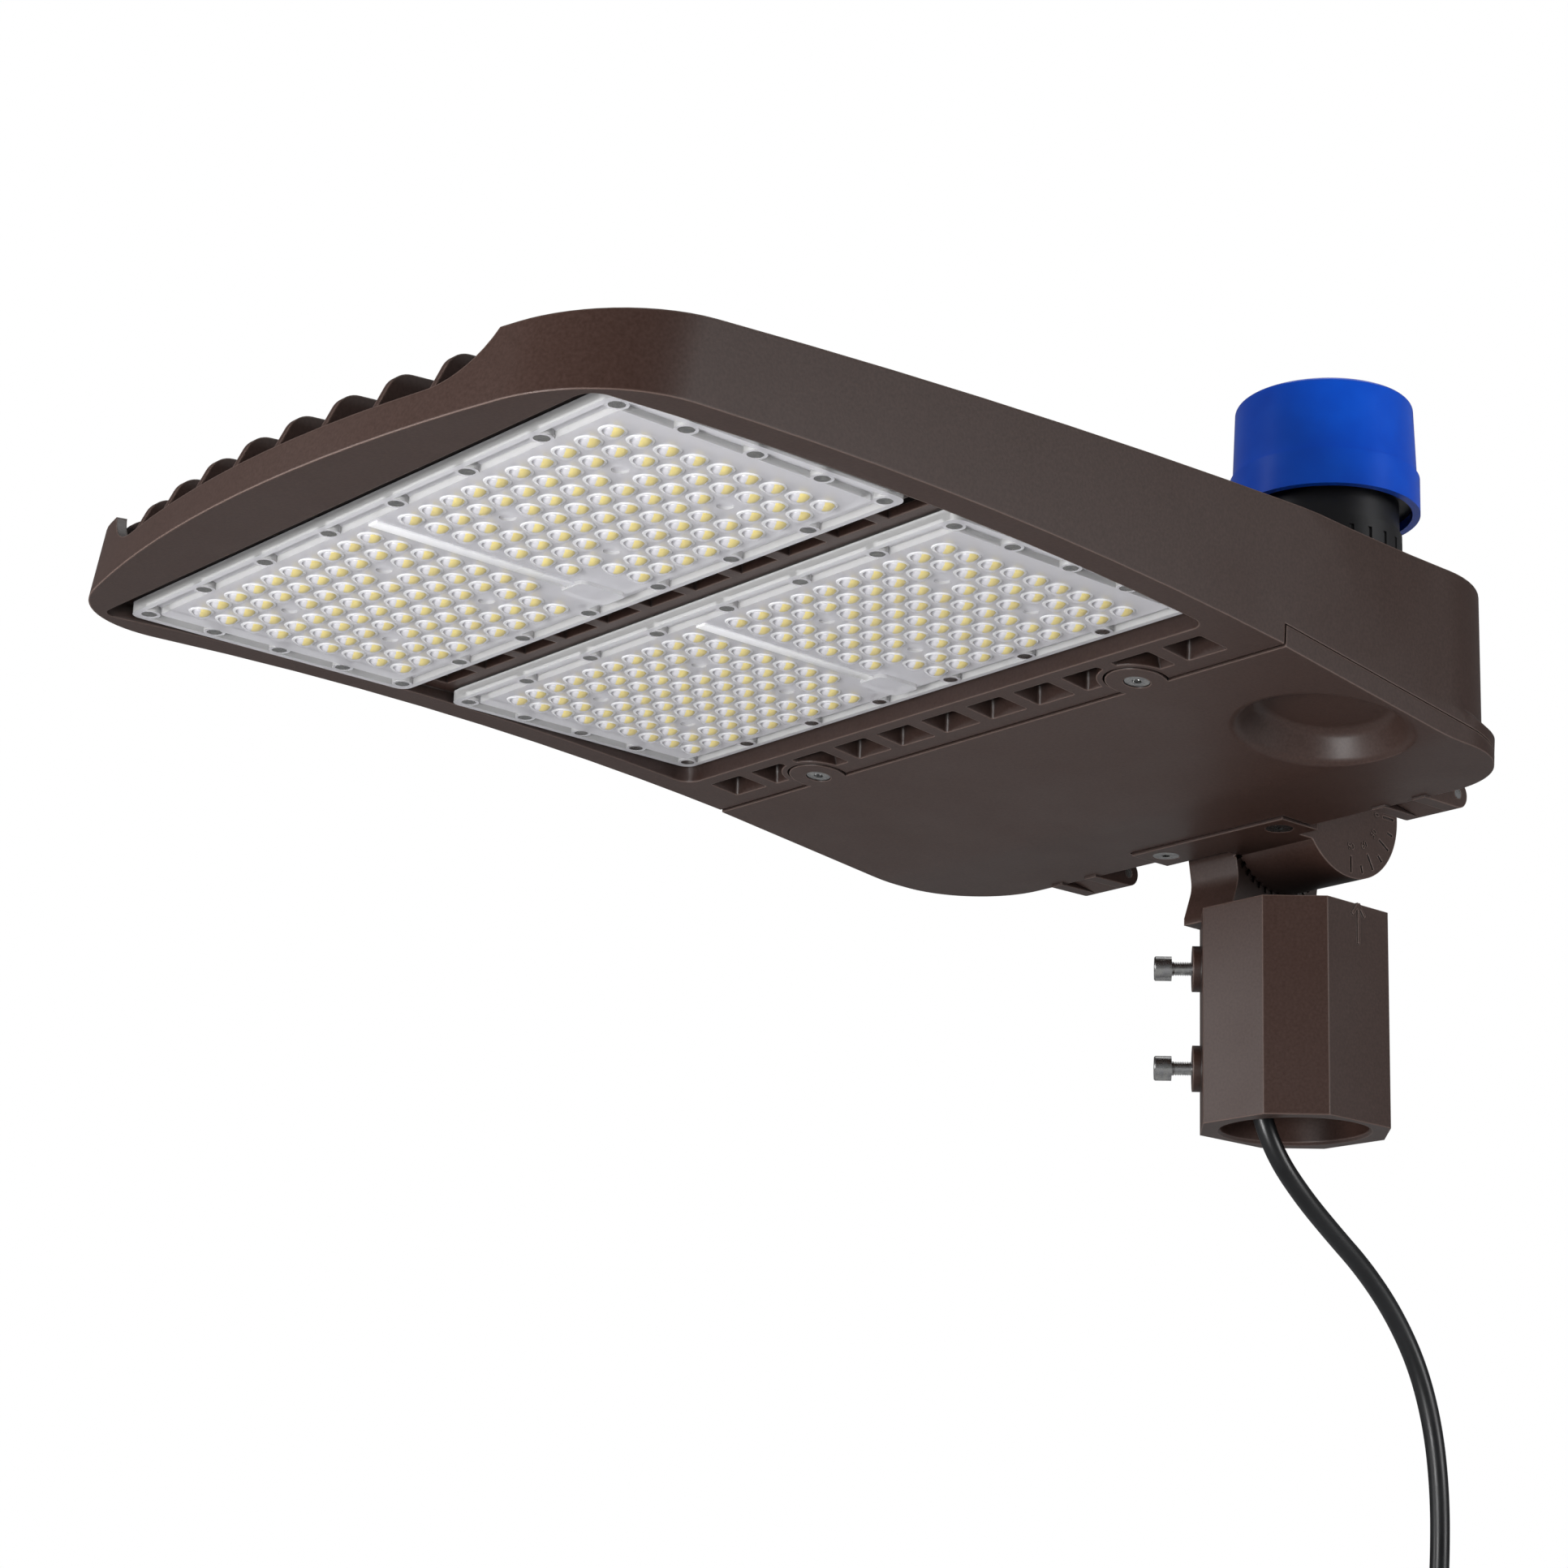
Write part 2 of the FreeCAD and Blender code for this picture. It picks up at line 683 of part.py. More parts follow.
def vent_tool(x):
    """Vent that narrows upwards between two fins."""
    foot = under_z(VENT_Y)

    def ring(z):
        share = (z - foot) / VENT_SLOPE_H
        half_x = (VENT_MOUTH[0] + (VENT_THROAT[0] - VENT_MOUTH[0]) * share) / 2
        half_y = (VENT_MOUTH[1] + (VENT_THROAT[1] - VENT_MOUTH[1]) * share) / 2
        corners = [(x - half_x, VENT_Y - half_y, z), (x + half_x, VENT_Y - half_y, z)]
        corners += [(x + half_x, VENT_Y + half_y, z), (x - half_x, VENT_Y + half_y, z)]
        return Part.Wire(rounded_path(corners, [VENT_CORNER_R] * 4, True))

    return Part.makeLoft([ring(foot - VENT_SLOPE_H / 2), ring(BASE_Z + OVER)], True, True)


def tapped_holes(places, radius):
    return [cyl(radius, (x, y, SEAT_Z - OVER), (0, 0, 1), BLIND + OVER) for x, y in places]


def hinge_arm(x0, x1, root_low, root_high):
    """Lug that reaches back from the rear wall to the door's hinge line."""
    eye = cyl(HINGE_EYE_R, (x0, HINGE_Y, HINGE_Z), (1, 0, 0), x1 - x0)
    root_y = REAR_Y - HINGE_ROOT_IN
    points = [(root_y, root_low), (HINGE_Y, HINGE_Z - HINGE_EYE_R)]
    points += [(HINGE_Y, HINGE_Z + HINGE_EYE_R), (REAR_Y + JOINT_GAP, root_high)]
    points += [(root_y, root_high)]
    return fuse([eye, prism_x(points, [0] * 5, x0, x1)])


def seal_outline(edge, z0, z1):
    """Region inside the seal's line, going round the bracket's pad; edge shrinks it."""
    half = HALF_LOW - SEAL_INSET - edge
    rear_r = REAR_R - SEAL_INSET - edge
    front = DOOR_FRONT + SEAL_FRONT + edge
    region = plan_box(half, front, REAR_Y - SEAL_INSET - edge, SEAL_CORNER_R, rear_r, z0, z1)
    notch_half = PLATE_HALF + SEAL_INSET + edge
    notch_front = PLATE_FRONT - SEAL_INSET - edge
    return cut(region, [box(-notch_half, notch_half, notch_front, 0, z0, z1)])


def seal_ring(grow, below, above):
    ring = cut(seal_outline(-grow, 100, 160), [seal_outline(SEAL_WIDE + grow, 90, 170)])
    return ring.common(seam_slab(200, DOOR_FRONT - 5, 0, below, above))


def driver_cavity():
    corner = UPPER_REAR_R - WALL
    half = SHAVE_X[2] - WALL
    upper = plan_box(half, BOX_FRONT + WALL, REAR_Y - WALL, CAVITY_FRONT_R, corner, 90, ROOF_UNDER)
    upper = cut(upper, [seam_slab(250, -300, 50, -80, RIM_H)])
    mouth = plan_box(RIM_HALF, RIM_FRONT, RIM_REAR, RIM_FRONT_R, RIM_REAR_R, 90, 150)
    pad = plan_box(PAD_HALF, PAD_FRONT, 0, RIM_FRONT_R, 0, 80, PAD_TOP)
    return cut(fuse([upper, mouth]), [pad])


def plate_top():
    return PLATE_Z0 + PLATE_T


def bracket_screw_places():
    return [(side * BRACKET_SCREW_X, BRACKET_SCREW_Y) for side in (-1, 1)]


def make_housing(block):
    shell = cut(block, [
        seam_slab(250, DOOR_FRONT, 60, -80, 0),
        rear_shave(),
        head_shell(WALL, BASE_Z, HEAD_HIGH).common(box(-200, 200, -600, BOX_FRONT, BASE_Z, 220)),
        notch_tool(),
        plan_box(POCKET_HALF, POCKET_FRONT, POCKET_REAR, POCKET_R, POCKET_R, 100, SEAT_Z),
        driver_cavity(),
        box(-PLATE_HALF - SEAT_GAP, PLATE_HALF + SEAT_GAP, PLATE_FRONT - SEAT_GAP, 0, 80, plate_top()),
    ])
    extras = [fin(x, block) for x in fin_places()]
    extras.append(cyl(EYE_BOSS_R, (EYE_X, EYE_Y, ROOF_UNDER), (0, 0, 1), boss_top() - ROOF_UNDER))
    for side in (-1, 1):
        x = side * HINGE_X
        low = seam_z(REAR_Y) + DOOR_GAP
        extras.append(hinge_arm(x - HINGE_MID_HALF, x + HINGE_MID_HALF, low, low + HINGE_ROOT_H))
    shell = fuse([shell] + extras)
    normal = seam_normal()
    ear_walls = [
        Part.makeCylinder(EAR_R + EAR_CLEAR + EAR_WALL, 30, ear_axis(s * EAR_X, -8), normal)
        for s in (-1, 1)
    ]
    tools = [cut(vent_tool(x), ear_walls) for x in opening_places()]
    for x in opening_places():
        half = SLOT_LONG / 2
        tools.append(box(x - half, x + half, SLOT_Y - SLOT_WIDE / 2, SLOT_Y + SLOT_WIDE / 2,
                         SEAT_Z - 1, BASE_Z + 1))
    for s in (-1, 1):
        tools.append(Part.makeCylinder(EAR_R + EAR_CLEAR, EAR_T + DOOR_GAP + 8,
                                       ear_axis(s * EAR_X, -8), normal))
        deep = CAPTIVE_LONG + CAPTIVE_SINK + OVER
        tools.append(Part.makeCylinder(CAPTIVE_HOLE_R, deep, ear_axis(s * EAR_X, 0), normal))
        tools.append(cyl(HINGE_PIN_R, (s * HINGE_X - HINGE_HALF, HINGE_Y, HINGE_Z), (1, 0, 0),
                         2 * HINGE_HALF))
    for plate_y in PLATE_Y:
        tools += tapped_holes(lens_screw_places(plate_y), LENS_SCREW_R)
        tools += tapped_holes(board_screw_places(plate_y), BOARD_SCREW_R)
    for x, y in bracket_screw_places():
        tools.append(cyl(BRACKET_SCREW_R, (x, y, 100), (0, 0, 1),
                         PLATE_Z0 + BRACKET_SCREW_LONG + OVER - 100))
    tools.append(cyl(WIRE_HOLE_R, (WIRE_HOLE_X, REAR_Y - 2 * WALL, WIRE_HOLE_Z), (0, 1, 0), 20))
    tools.append(cyl(SOCKET_STEM_R + SEAT_GAP, (EYE_X, EYE_Y, ROOF_UNDER - 1), (0, 0, 1), 20))
    tools.append(seal_ring(SEAT_GAP, -1, SEAL_T))
    return cut(shell, tools)


def boss_top():
    return top_z(ROOF_Y) + EYE_BOSS_H


# ---- lens plates and light boards ----
def plate_box(plate_y, half_x, half_y, radius, z0, z1):
    return plan_box(half_x, plate_y - half_y, plate_y + half_y, radius, radius, z0, z1)


def lens_top():
    return SEAT_Z - GASKET_T


def panel_top():
    return LENS_Z0 + PANEL_T


def dome():
    """Cap of one lens, standing down from the panel."""
    ball_r = (DOME_R ** 2 + DOME_H ** 2) / (2 * DOME_H)
    ball = Part.makeSphere(ball_r, Vector(0, 0, LENS_Z0 - DOME_H + ball_r))
    return ball.common(box(-20, 20, -20, 20, LENS_Z0 - 20, LENS_Z0 + 0.3))


def make_lens_plate(plate_y):
    plate = plate_box(plate_y, LENS_HALF_X, LENS_HALF_Y, LENS_R, LENS_Z0, lens_top())
    tray = plate_box(plate_y, TRAY_HALF_X, TRAY_HALF_Y, TRAY_R, panel_top(), SEAT_Z)
    outer = plate_box(plate_y, TROUGH_HALF_X, TROUGH_HALF_Y, TROUGH_R, LENS_Z0 - OVER,
                      LENS_Z0 + TROUGH_DEEP)
    inner = plate_box(plate_y, TROUGH_HALF_X - TROUGH_WIDE, TROUGH_HALF_Y - TROUGH_WIDE, TROUGH_R / 2,
                      LENS_Z0 - 2 * OVER, SEAT_Z)
    bosses = [cyl(LENS_BOSS_R, (x, y, LENS_Z0 - 2), (0, 0, 1), 12)
              for x, y in lens_screw_places(plate_y)]
    trough = cut(outer, [inner] + bosses)
    plate = cut(plate, [tray, trough])
    cover_y = plate_y + PITCH_Y * (ROWS - 1) / 2
    cover = plan_box(COVER_HALF, cover_y - COVER_FRONT, cover_y + COVER_REAR, COVER_R, COVER_R,
                     LENS_Z0 - COVER_H, LENS_Z0 + OVER)
    wells = [cyl(WELL_R, (x, y, LENS_Z0 - 1), (0, 0, 1), 1 + PANEL_T / 2)
             for x, y in board_screw_places(plate_y)]
    holes = [cyl(LENS_SCREW_R, (x, y, LENS_Z0 - 1), (0, 0, 1), 9)
             for x, y in lens_screw_places(plate_y)]
    sinks = [cyl(LENS_HEAD_R + SEAT_GAP, (x, y, LENS_Z0 - 1), (0, 0, 1), 1 + LENS_HEAD_H)
             for x, y in lens_screw_places(plate_y)]
    plate = cut(plate, wells + holes + sinks)
    cap = dome()
    caps = [cap.translated(Vector(x, y, 0)) for x, y in light_cells(plate_y)]
    return plate.multiFuse([cover] + caps)


def make_lens_gasket(plate_y):
    ring = plate_box(plate_y, LENS_HALF_X - 1, LENS_HALF_Y - 1, LENS_R, lens_top(), SEAT_Z)
    inner = plate_box(plate_y, TRAY_HALF_X, TRAY_HALF_Y, TRAY_R, lens_top() - OVER, SEAT_Z + OVER)
    holes = [cyl(LENS_SCREW_R, (x, y, lens_top() - 1), (0, 0, 1), 4)
             for x, y in lens_screw_places(plate_y)]
    return cut(ring, [inner] + holes)


def make_lens_screws():
    screws = []
    for plate_y in PLATE_Y:
        for x, y in lens_screw_places(plate_y):
            head = cyl(LENS_HEAD_R, (x, y, LENS_Z0), (0, 0, 1), LENS_HEAD_H)
            shank = cyl(LENS_SCREW_R - SHAFT_GAP, (x, y, LENS_Z0), (0, 0, 1),
                        SEAT_Z + BLIND - SCREW_END - LENS_Z0)
            screws.append(fuse([head, shank]))
    return Part.makeCompound(screws)


def make_board(plate_y, side):
    x0, x1 = sorted((side * BOARD_X0, side * BOARD_X1))
    board = box(x0, x1, plate_y - BOARD_HALF_Y, plate_y + BOARD_HALF_Y, SEAT_Z - BOARD_T, SEAT_Z)
    holes = [cyl(BOARD_SCREW_R + 0.2, (x, y, SEAT_Z - 5), (0, 0, 1), 8)
             for x, y in board_screw_places(plate_y) if x * side > 0]
    return cut(board, holes)


def make_leds():
    face = SEAT_Z - BOARD_T
    half_x = LED_SIZE[0] / 2
    half_y = LED_SIZE[1] / 2
    chips = [box(x - half_x, x + half_x, y - half_y, y + half_y, face - LED_H, face)
             for plate_y in PLATE_Y for x, y in light_cells(plate_y)]
    return Part.makeCompound(chips)


def make_board_screws():
    face = SEAT_Z - BOARD_T
    screws = []
    for plate_y in PLATE_Y:
        for x, y in board_screw_places(plate_y):
            head = cyl(2 * BOARD_SCREW_R, (x, y, face - BOARD_HEAD_H), (0, 0, 1), BOARD_HEAD_H)
            shank = cyl(BOARD_SCREW_R - SHAFT_GAP, (x, y, face - BOARD_HEAD_H), (0, 0, 1),
                        BOARD_HEAD_H + BOARD_T + BLIND - SCREW_END)
            screws.append(fuse([head, shank]))
    return Part.makeCompound(screws)


def make_board_plugs():
    """Plug bridging the two boards of each plate, under the frosted pocket."""
    face = SEAT_Z - BOARD_T
    plugs = []
    for plate_y in PLATE_Y:
        y = cell(plate_y, 1, ROWS - 1)[1] - PITCH_Y / 2
        for side in (-1, 1):
            x = side * (BOARD_X0 + 1.0 + PLUG_SIZE[0] / 2)
            plugs.append(box(x - PLUG_SIZE[0] / 2, x + PLUG_SIZE[0] / 2,
                             y - PLUG_SIZE[1] / 2, y + PLUG_SIZE[1] / 2, face - PLUG_H, face))
    return Part.makeCompound(plugs)


# ---- driver door ----
def make_door(block):
    blank = block.common(seam_slab(250, DOOR_FRONT + DOOR_FRONT_GAP, 60, -60, -DOOR_GAP))
    hollow = head_shell(DOOR_RIM, HEAD_LOW, HEAD_HIGH).common(profile_block(2 * HALF_LOW, DOOR_FLOOR))
    hollow = hollow.common(box(-200, 200, DOOR_FRONT + DOOR_RIM, REAR_Y - DOOR_RIM, 0, 200))
    keep = box(-PAD_HALF, PAD_HALF, PAD_FRONT, 0, 0, 200)
    door = cut(blank, [cut(hollow, [keep])])
    normal = seam_normal()
    dish_base = door_point(DISH_X, DISH_Y)
    bulge = Part.makeCylinder(DISH_R + DOOR_FLOOR, DISH_DEEP + DOOR_FLOOR - 1, dish_base + normal, normal)
    inside = RIM_HALF - DOOR_GAP
    extras = [bulge.common(fuse([box(-inside, inside, RIM_FRONT, REAR_Y, 80, 200),
                                 seam_slab(HALF_LOW - 1, RIM_FRONT, REAR_Y, -60, -DOOR_GAP)]))]
    for s in (-1, 1):
        extras.append(Part.makeCylinder(EAR_R, EAR_T, ear_axis(s * EAR_X), normal))
        for side in (-1, 1):
            x0 = s * HINGE_X + side * (HINGE_MID_HALF + JOINT_GAP)
            x1 = s * HINGE_X + side * HINGE_HALF
            low = DOOR_REAR_Z
            extras.append(hinge_arm(min(x0, x1), max(x0, x1), low, seam_z(REAR_Y) - DOOR_GAP))
    for x in driver_tab_places():
        post = box(x - DRIVER_TAB / 2, x + DRIVER_TAB / 2, DRIVER_Y[0] + DRIVER_POST_INSET,
                   DRIVER_Y[1] - DRIVER_POST_INSET, 100, DRIVER_Z[0] - DRIVER_POST_GAP)
        extras.append(cut(post, [seam_slab(250, -300, 50, -60, OVER - DOOR_T)]))
    door = fuse([door] + extras)
    tools = [dish_tool()]
    gap = JOINT_GAP + 0.5
    tools.append(box(-PLATE_HALF - gap, PLATE_HALF + gap, PLATE_FRONT - gap, 0, 80, 150))
    for s in (-1, 1):
        tools.append(Part.makeCylinder(CAPTIVE_R + SHAFT_GAP, 30, ear_axis(s * EAR_X, -5), normal))
        tools.append(Part.makeCylinder(CAPTIVE_HEAD_R + JOINT_GAP, CAPTIVE_HEAD_H + CAPTIVE_SINK,
                                       ear_axis(s * EAR_X, 0), normal))
        tools.append(cyl(HINGE_PIN_R + SHAFT_GAP, (s * HINGE_X - HINGE_HALF - 1, HINGE_Y, HINGE_Z),
                         (1, 0, 0), 2 * HINGE_HALF + 2))
    for x in driver_tab_places():
        tools.append(cyl(DRIVER_SCREW_R, (x, driver_mid(), DRIVER_Z[0] - DRIVER_HOLE_DEEP), (0, 0, 1),
                         DRIVER_HOLE_DEEP + OVER))
    return cut(door, tools)


def dish_tool():
    """Soft-edged round recess, turned about the door's normal."""
    skirt = DISH_R + 9.0
    points = [(0, 0, -4), (skirt, 0, -4), (skirt, 0, 0), (DISH_R, 0, 0), (DISH_FLOOR_R, 0, DISH_DEEP)]
    points.append((0, 0, DISH_DEEP))
    section = outline_face(points, [0, 0, 0, DISH_LIP_R, DISH_FLOOR_EDGE_R, 0])
    turned = section.revolve(Vector(0, 0, 0), Vector(0, 0, 1), 360)
    lean = FreeCAD.Rotation(Vector(0, 0, 1), seam_normal())
    turned.Placement = FreeCAD.Placement(door_point(DISH_X, DISH_Y), lean)
    return turned


def make_door_screw(side):
    normal = seam_normal()
    base = ear_axis(side * EAR_X, CAPTIVE_SINK)
    head = Part.makeCylinder(CAPTIVE_HEAD_R, CAPTIVE_HEAD_H, base, normal)
    shank = Part.makeCylinder(CAPTIVE_R, CAPTIVE_LONG, base, normal)
    recess = Part.makeCylinder(CAPTIVE_RECESS_R, CAPTIVE_RECESS_H, base, normal)
    return cut(fuse([head, shank]), [recess])


def make_door_seal():
    return seal_ring(0.0, SEAT_GAP / 2, SEAL_T - SEAT_GAP)


def make_hinge_pins():
    pins = [cyl(HINGE_PIN_R, (s * HINGE_X - HINGE_HALF, HINGE_Y, HINGE_Z), (1, 0, 0), 2 * HINGE_HALF)
            for s in (-1, 1)]
    return Part.makeCompound(pins)


# ---- driver and wiring ----
def driver_tab_places():
    return [DRIVER_X[0] + DRIVER_TAB / 2, DRIVER_X[1] - DRIVER_TAB / 2]


def driver_mid():
    return (DRIVER_Y[0] + DRIVER_Y[1]) / 2


def make_driver():
    case = prism_x([(DRIVER_Y[0], DRIVER_Z[0]), (DRIVER_Y[1], DRIVER_Z[0]),
                    (DRIVER_Y[1], DRIVER_Z[1]), (DRIVER_Y[0], DRIVER_Z[1])],
                   [DRIVER_EDGE_R[0]] * 2 + [DRIVER_EDGE_R[1]] * 2,
                   DRIVER_X[0] + DRIVER_TAB, DRIVER_X[1] - DRIVER_TAB)
    tabs = [box(x - DRIVER_TAB / 2, x + DRIVER_TAB / 2,
                DRIVER_Y[0] + DRIVER_TAB_INSET, DRIVER_Y[1] - DRIVER_TAB_INSET,
                DRIVER_Z[0], DRIVER_Z[0] + DRIVER_TAB_T) for x in driver_tab_places()]
    holes = [cyl(DRIVER_SCREW_R + SEAT_GAP, (x, driver_mid(), DRIVER_Z[0] - OVER), (0, 0, 1),
                 DRIVER_TAB_T + 2 * OVER) for x in driver_tab_places()]
    return cut(fuse([case] + tabs), holes)


def make_driver_screws():
    seat = DRIVER_Z[0] + DRIVER_TAB_T
    screws = []
    for x in driver_tab_places():
        head = cyl(DRIVER_SCREW_HEAD_R, (x, driver_mid(), seat), (0, 0, 1), DRIVER_SCREW_HEAD_H)
        shank = cyl(DRIVER_SCREW_R - SHAFT_GAP, (x, driver_mid(), seat - DRIVER_SCREW_LONG), (0, 0, 1),
                    DRIVER_SCREW_LONG + OVER)
        screws.append(fuse([head, shank]))
    return Part.makeCompound(screws)


def make_surge_protector():
    body = box(SURGE_X[0], SURGE_X[1], SURGE_Y[0], SURGE_Y[1], ROOF_UNDER - SURGE_H, ROOF_UNDER)
    return body.makeFillet(SURGE_EDGE_R, [e for e in body.Edges if e.BoundBox.ZLength > SURGE_EDGE_R])


def make_terminal_block():
    body = box(BLOCK_X[0], BLOCK_X[1], BLOCK_Y[0], BLOCK_Y[1], ROOF_UNDER - BLOCK_H, ROOF_UNDER)
    wells = []
    for x in way_places():
        for y in (BLOCK_Y[0] + WAY_INSET, BLOCK_Y[1] - WAY_INSET):
            wells.append(cyl(WAY_R, (x, y, ROOF_UNDER - BLOCK_H - OVER), (0, 0, 1), WAY_DEEP + OVER))
    return cut(body, wells)


def way_places():
    step = (BLOCK_X[1] - BLOCK_X[0]) / WAYS
    return [BLOCK_X[0] + step * (k + 0.5) for k in range(WAYS)]


def tube_along(points, radius, name):
    """Round tube along straight runs joined by arcs as large as the runs allow."""
    places = [Vector(*p) for p in points]
    runs = [(b - a).Length for a, b in zip(places, places[1:])]
    radii = [0.0]
    for k in range(1, len(places) - 1):
        turn = (places[k] - places[k - 1]).getAngle(places[k + 1] - places[k])
        radii.append(LEAD_RUN_SHARE * min(runs[k - 1], runs[k]) / math.tan(turn / 2))
    radii.append(0.0)
    path = Part.Wire(rounded_path(points, radii, False))
    start = (places[1] - places[0]).normalize()
    section = Part.Wire([Part.Circle(places[0], start, radius).toShape()])
    solid = path.makePipeShell([section], True, False)
    ideal = math.pi * radius ** 2 * path.Length
    print(name, "length", round(path.Length, 1), "least radius", round(min(radii[1:-1]), 1),
          "volume ratio", round(solid.Volume / ideal, 5))
    return solid


def make_lead():
    return tube_along(LEAD_POINTS, LEAD_R, "lead")


def make_lead_cores():
    """Stripped conductors at the lead's free end, spreading a little."""
    end = Vector(*LEAD_POINTS[-1])
    along = (end - Vector(*LEAD_POINTS[-2])).normalize()
    aside = along.cross(Vector(0, 0, 1)).normalize()
    cores = []
    for k in range(WAYS):
        turn = math.radians(360 / WAYS * k + 30)
        out = aside * math.cos(turn) + along.cross(aside) * math.sin(turn)
        first = end + out * CORE_RING
        second = first + along * (CORE_LONG * CORE_STRAIGHT)
        last = second + (along + out * CORE_SPLAY).normalize() * (CORE_LONG * (1 - CORE_STRAIGHT))
        cores.append(tube_along([tuple(first), tuple(second), tuple(last)], CORE_R, "core"))
    return Part.makeCompound(cores)


def make_supply_wires():
    """Three wires from the knuckle, through the rear wall, to the terminal block."""
    wires = []
    for k, block_x in enumerate(way_places()):
        x = WIRE_HOLE_X + (k - 1) * (2 * WIRE_R + WIRE_GAP)
        level = WIRE_HOLE_Z - WIRE_R
        inside = REAR_Y - WIRE_BACK
        points = [(x, WIRE_START_Y, level), (x, REAR_Y, level), (x, inside, level + WIRE_GAP * (k + 1)),
                  ((x + block_x) / 2, (inside + BLOCK_Y[1]) / 2, WIRE_ARCH_Z - WIRE_FAN * k),
                  (block_x, BLOCK_Y[1] - OVER, WIRE_DROP_Z),
                  (block_x, BLOCK_Y[1] - WAY_INSET, ROOF_UNDER - BLOCK_H)]
        wires.append(tube_along(points, WIRE_R, "supply wire"))
    return Part.makeCompound(wires)


def make_grommet():
    hole = (LEAD_HOLE_X, 0, TUBE_H - TUBE_TOP - GROMMET_LIP)
    body = cyl(LEAD_HOLE_R - SEAT_GAP, hole, (0, 0, 1), TUBE_TOP + 2 * GROMMET_LIP)
    lip = cyl(GROMMET_R, hole, (0, 0, 1), GROMMET_LIP)
    first = Vector(*LEAD_POINTS[0])
    along = (Vector(*LEAD_POINTS[1]) - first).normalize()
    bore = Part.makeCylinder(LEAD_R + SEAT_GAP, 40, first - along * 12, along)
    return cut(fuse([body, lip]), [bore])


# ---- slip fitter ----
def octagon(grow=0.0):
    half_x = TUBE_HALF_X + grow
    half_y = TUBE_HALF_Y + grow
    leg = TUBE_CHAMFER
    corner = [(half_x - leg, -half_y), (half_x, -half_y + leg)]
    points = corner + [(x, -y) for x, y in reversed(corner)]
    return points + [(-x, -y) for x, y in points]


def set_direction():
    return Vector(1, 1, 0).normalize()


def chamfer_reach():
    return (TUBE_HALF_X + TUBE_HALF_Y - TUBE_CHAMFER) / math.sqrt(2)


def tooth_slots(x0, x1):
    """Radial nicks in a knuckle's meeting face."""
    tools = []
    width = math.pi * KNUCKLE_R / TEETH
    for k in range(TEETH):
        nick = box(x0, x1, -width / 2, width / 2, TOOTH_INNER_R, KNUCKLE_R + 2)
        nick.rotate(Vector(0, 0, 0), Vector(1, 0, 0), 360.0 * k / TEETH)
        tools.append(nick.translated(Vector(0, 0, PIVOT_Z)))
    return tools


def wireway(x0, x1):
    centre = (x0, 0, PIVOT_Z)
    outer = cyl(WIREWAY_R1, centre, (1, 0, 0), x1 - x0)
    return cut(outer, [cyl(WIREWAY_R0, centre, (1, 0, 0), x1 - x0)])


def make_slip_fitter():
    tube = prism_z(octagon(), [0] * 8, 0, TUBE_H)
    disc = cyl(KNUCKLE_R, (ARM_X0, 0, PIVOT_Z), (1, 0, 0), ARM_X1 - ARM_X0)
    waist = TUBE_H + ARM_NECK_R
    root = TUBE_H - TUBE_TOP / 2
    arm_points = [(-ARM_FOOT, root), (ARM_FOOT, root), (ARM_FOOT, TUBE_H), (ARM_NECK, waist),
                  (ARM_SHOULDER, ARM_SHOULDER_Z), (-ARM_SHOULDER, ARM_SHOULDER_Z),
                  (-ARM_NECK, waist), (-ARM_FOOT, TUBE_H)]
    arm = prism_x(arm_points, [0, 0, 0, ARM_NECK_R, 0, 0, ARM_NECK_R, 0], ARM_X0, ARM_X1)
    out = set_direction() * -1
    bosses = []
    for z in SET_Z:
        start = Vector(0, 0, z) + out * (chamfer_reach() - 2)
        bosses.append(Part.makeCylinder(BOSS_R, BOSS_H + 2, start, out))
    body = fuse([tube, disc, arm] + bosses)
    tools = [cyl(BORE_R, (0, 0, -1), (0, 0, 1), TUBE_H - TUBE_TOP + 1)]
    tools.append(Part.makeCone(BORE_R + MOUTH_BEVEL, BORE_R, MOUTH_BEVEL, Vector(0, 0, 0)))
    tools.append(cyl(LEAD_HOLE_R, (LEAD_HOLE_X, 0, TUBE_H - 20), (0, 0, 1), LEAD_HOLE_TOP - TUBE_H + 20))
    tools.append(wireway(LEAD_HOLE_X - LEAD_HOLE_R, ARM_X1 + 1))
    tools.append(cyl(BOLT_R + SHAFT_GAP, (ARM_X0 - 1, 0, PIVOT_Z), (1, 0, 0), 40))
    tools.append(cyl(WASHER_R + SINK_PLAY, (ARM_X0 - OVER, 0, PIVOT_Z), (1, 0, 0), BOLT_SINK + OVER))
    for z in SET_Z:
        tools.append(Part.makeCylinder(SET_R + SHAFT_GAP, 40, Vector(0, 0, z) + out * 20, out))
    tools += tooth_slots(ARM_X1 - TOOTH_DEPTH, ARM_X1 + 1)
    body = cut(body, tools)
    return body.fuse(make_arrow()).removeSplitter()


def make_arrow():
    """Raised arrow that marks the upright way round, on the +X face."""
    half = ARROW_LINE / 2
    tip = ARROW_Z + ARROW_LONG
    stem = box(TUBE_HALF_X - OVER, TUBE_HALF_X + ARROW_RAISE, -half, half, ARROW_Z, tip - half)
    barbs = []
    for side in (-1, 1):
        barb = box(TUBE_HALF_X - OVER, TUBE_HALF_X + ARROW_RAISE, -half, half, -ARROW_BARB, 0)
        barb.rotate(Vector(0, 0, 0), Vector(1, 0, 0), side * ARROW_SPREAD)
        barbs.append(barb.translated(Vector(0, 0, tip)))
    return fuse([stem] + barbs)


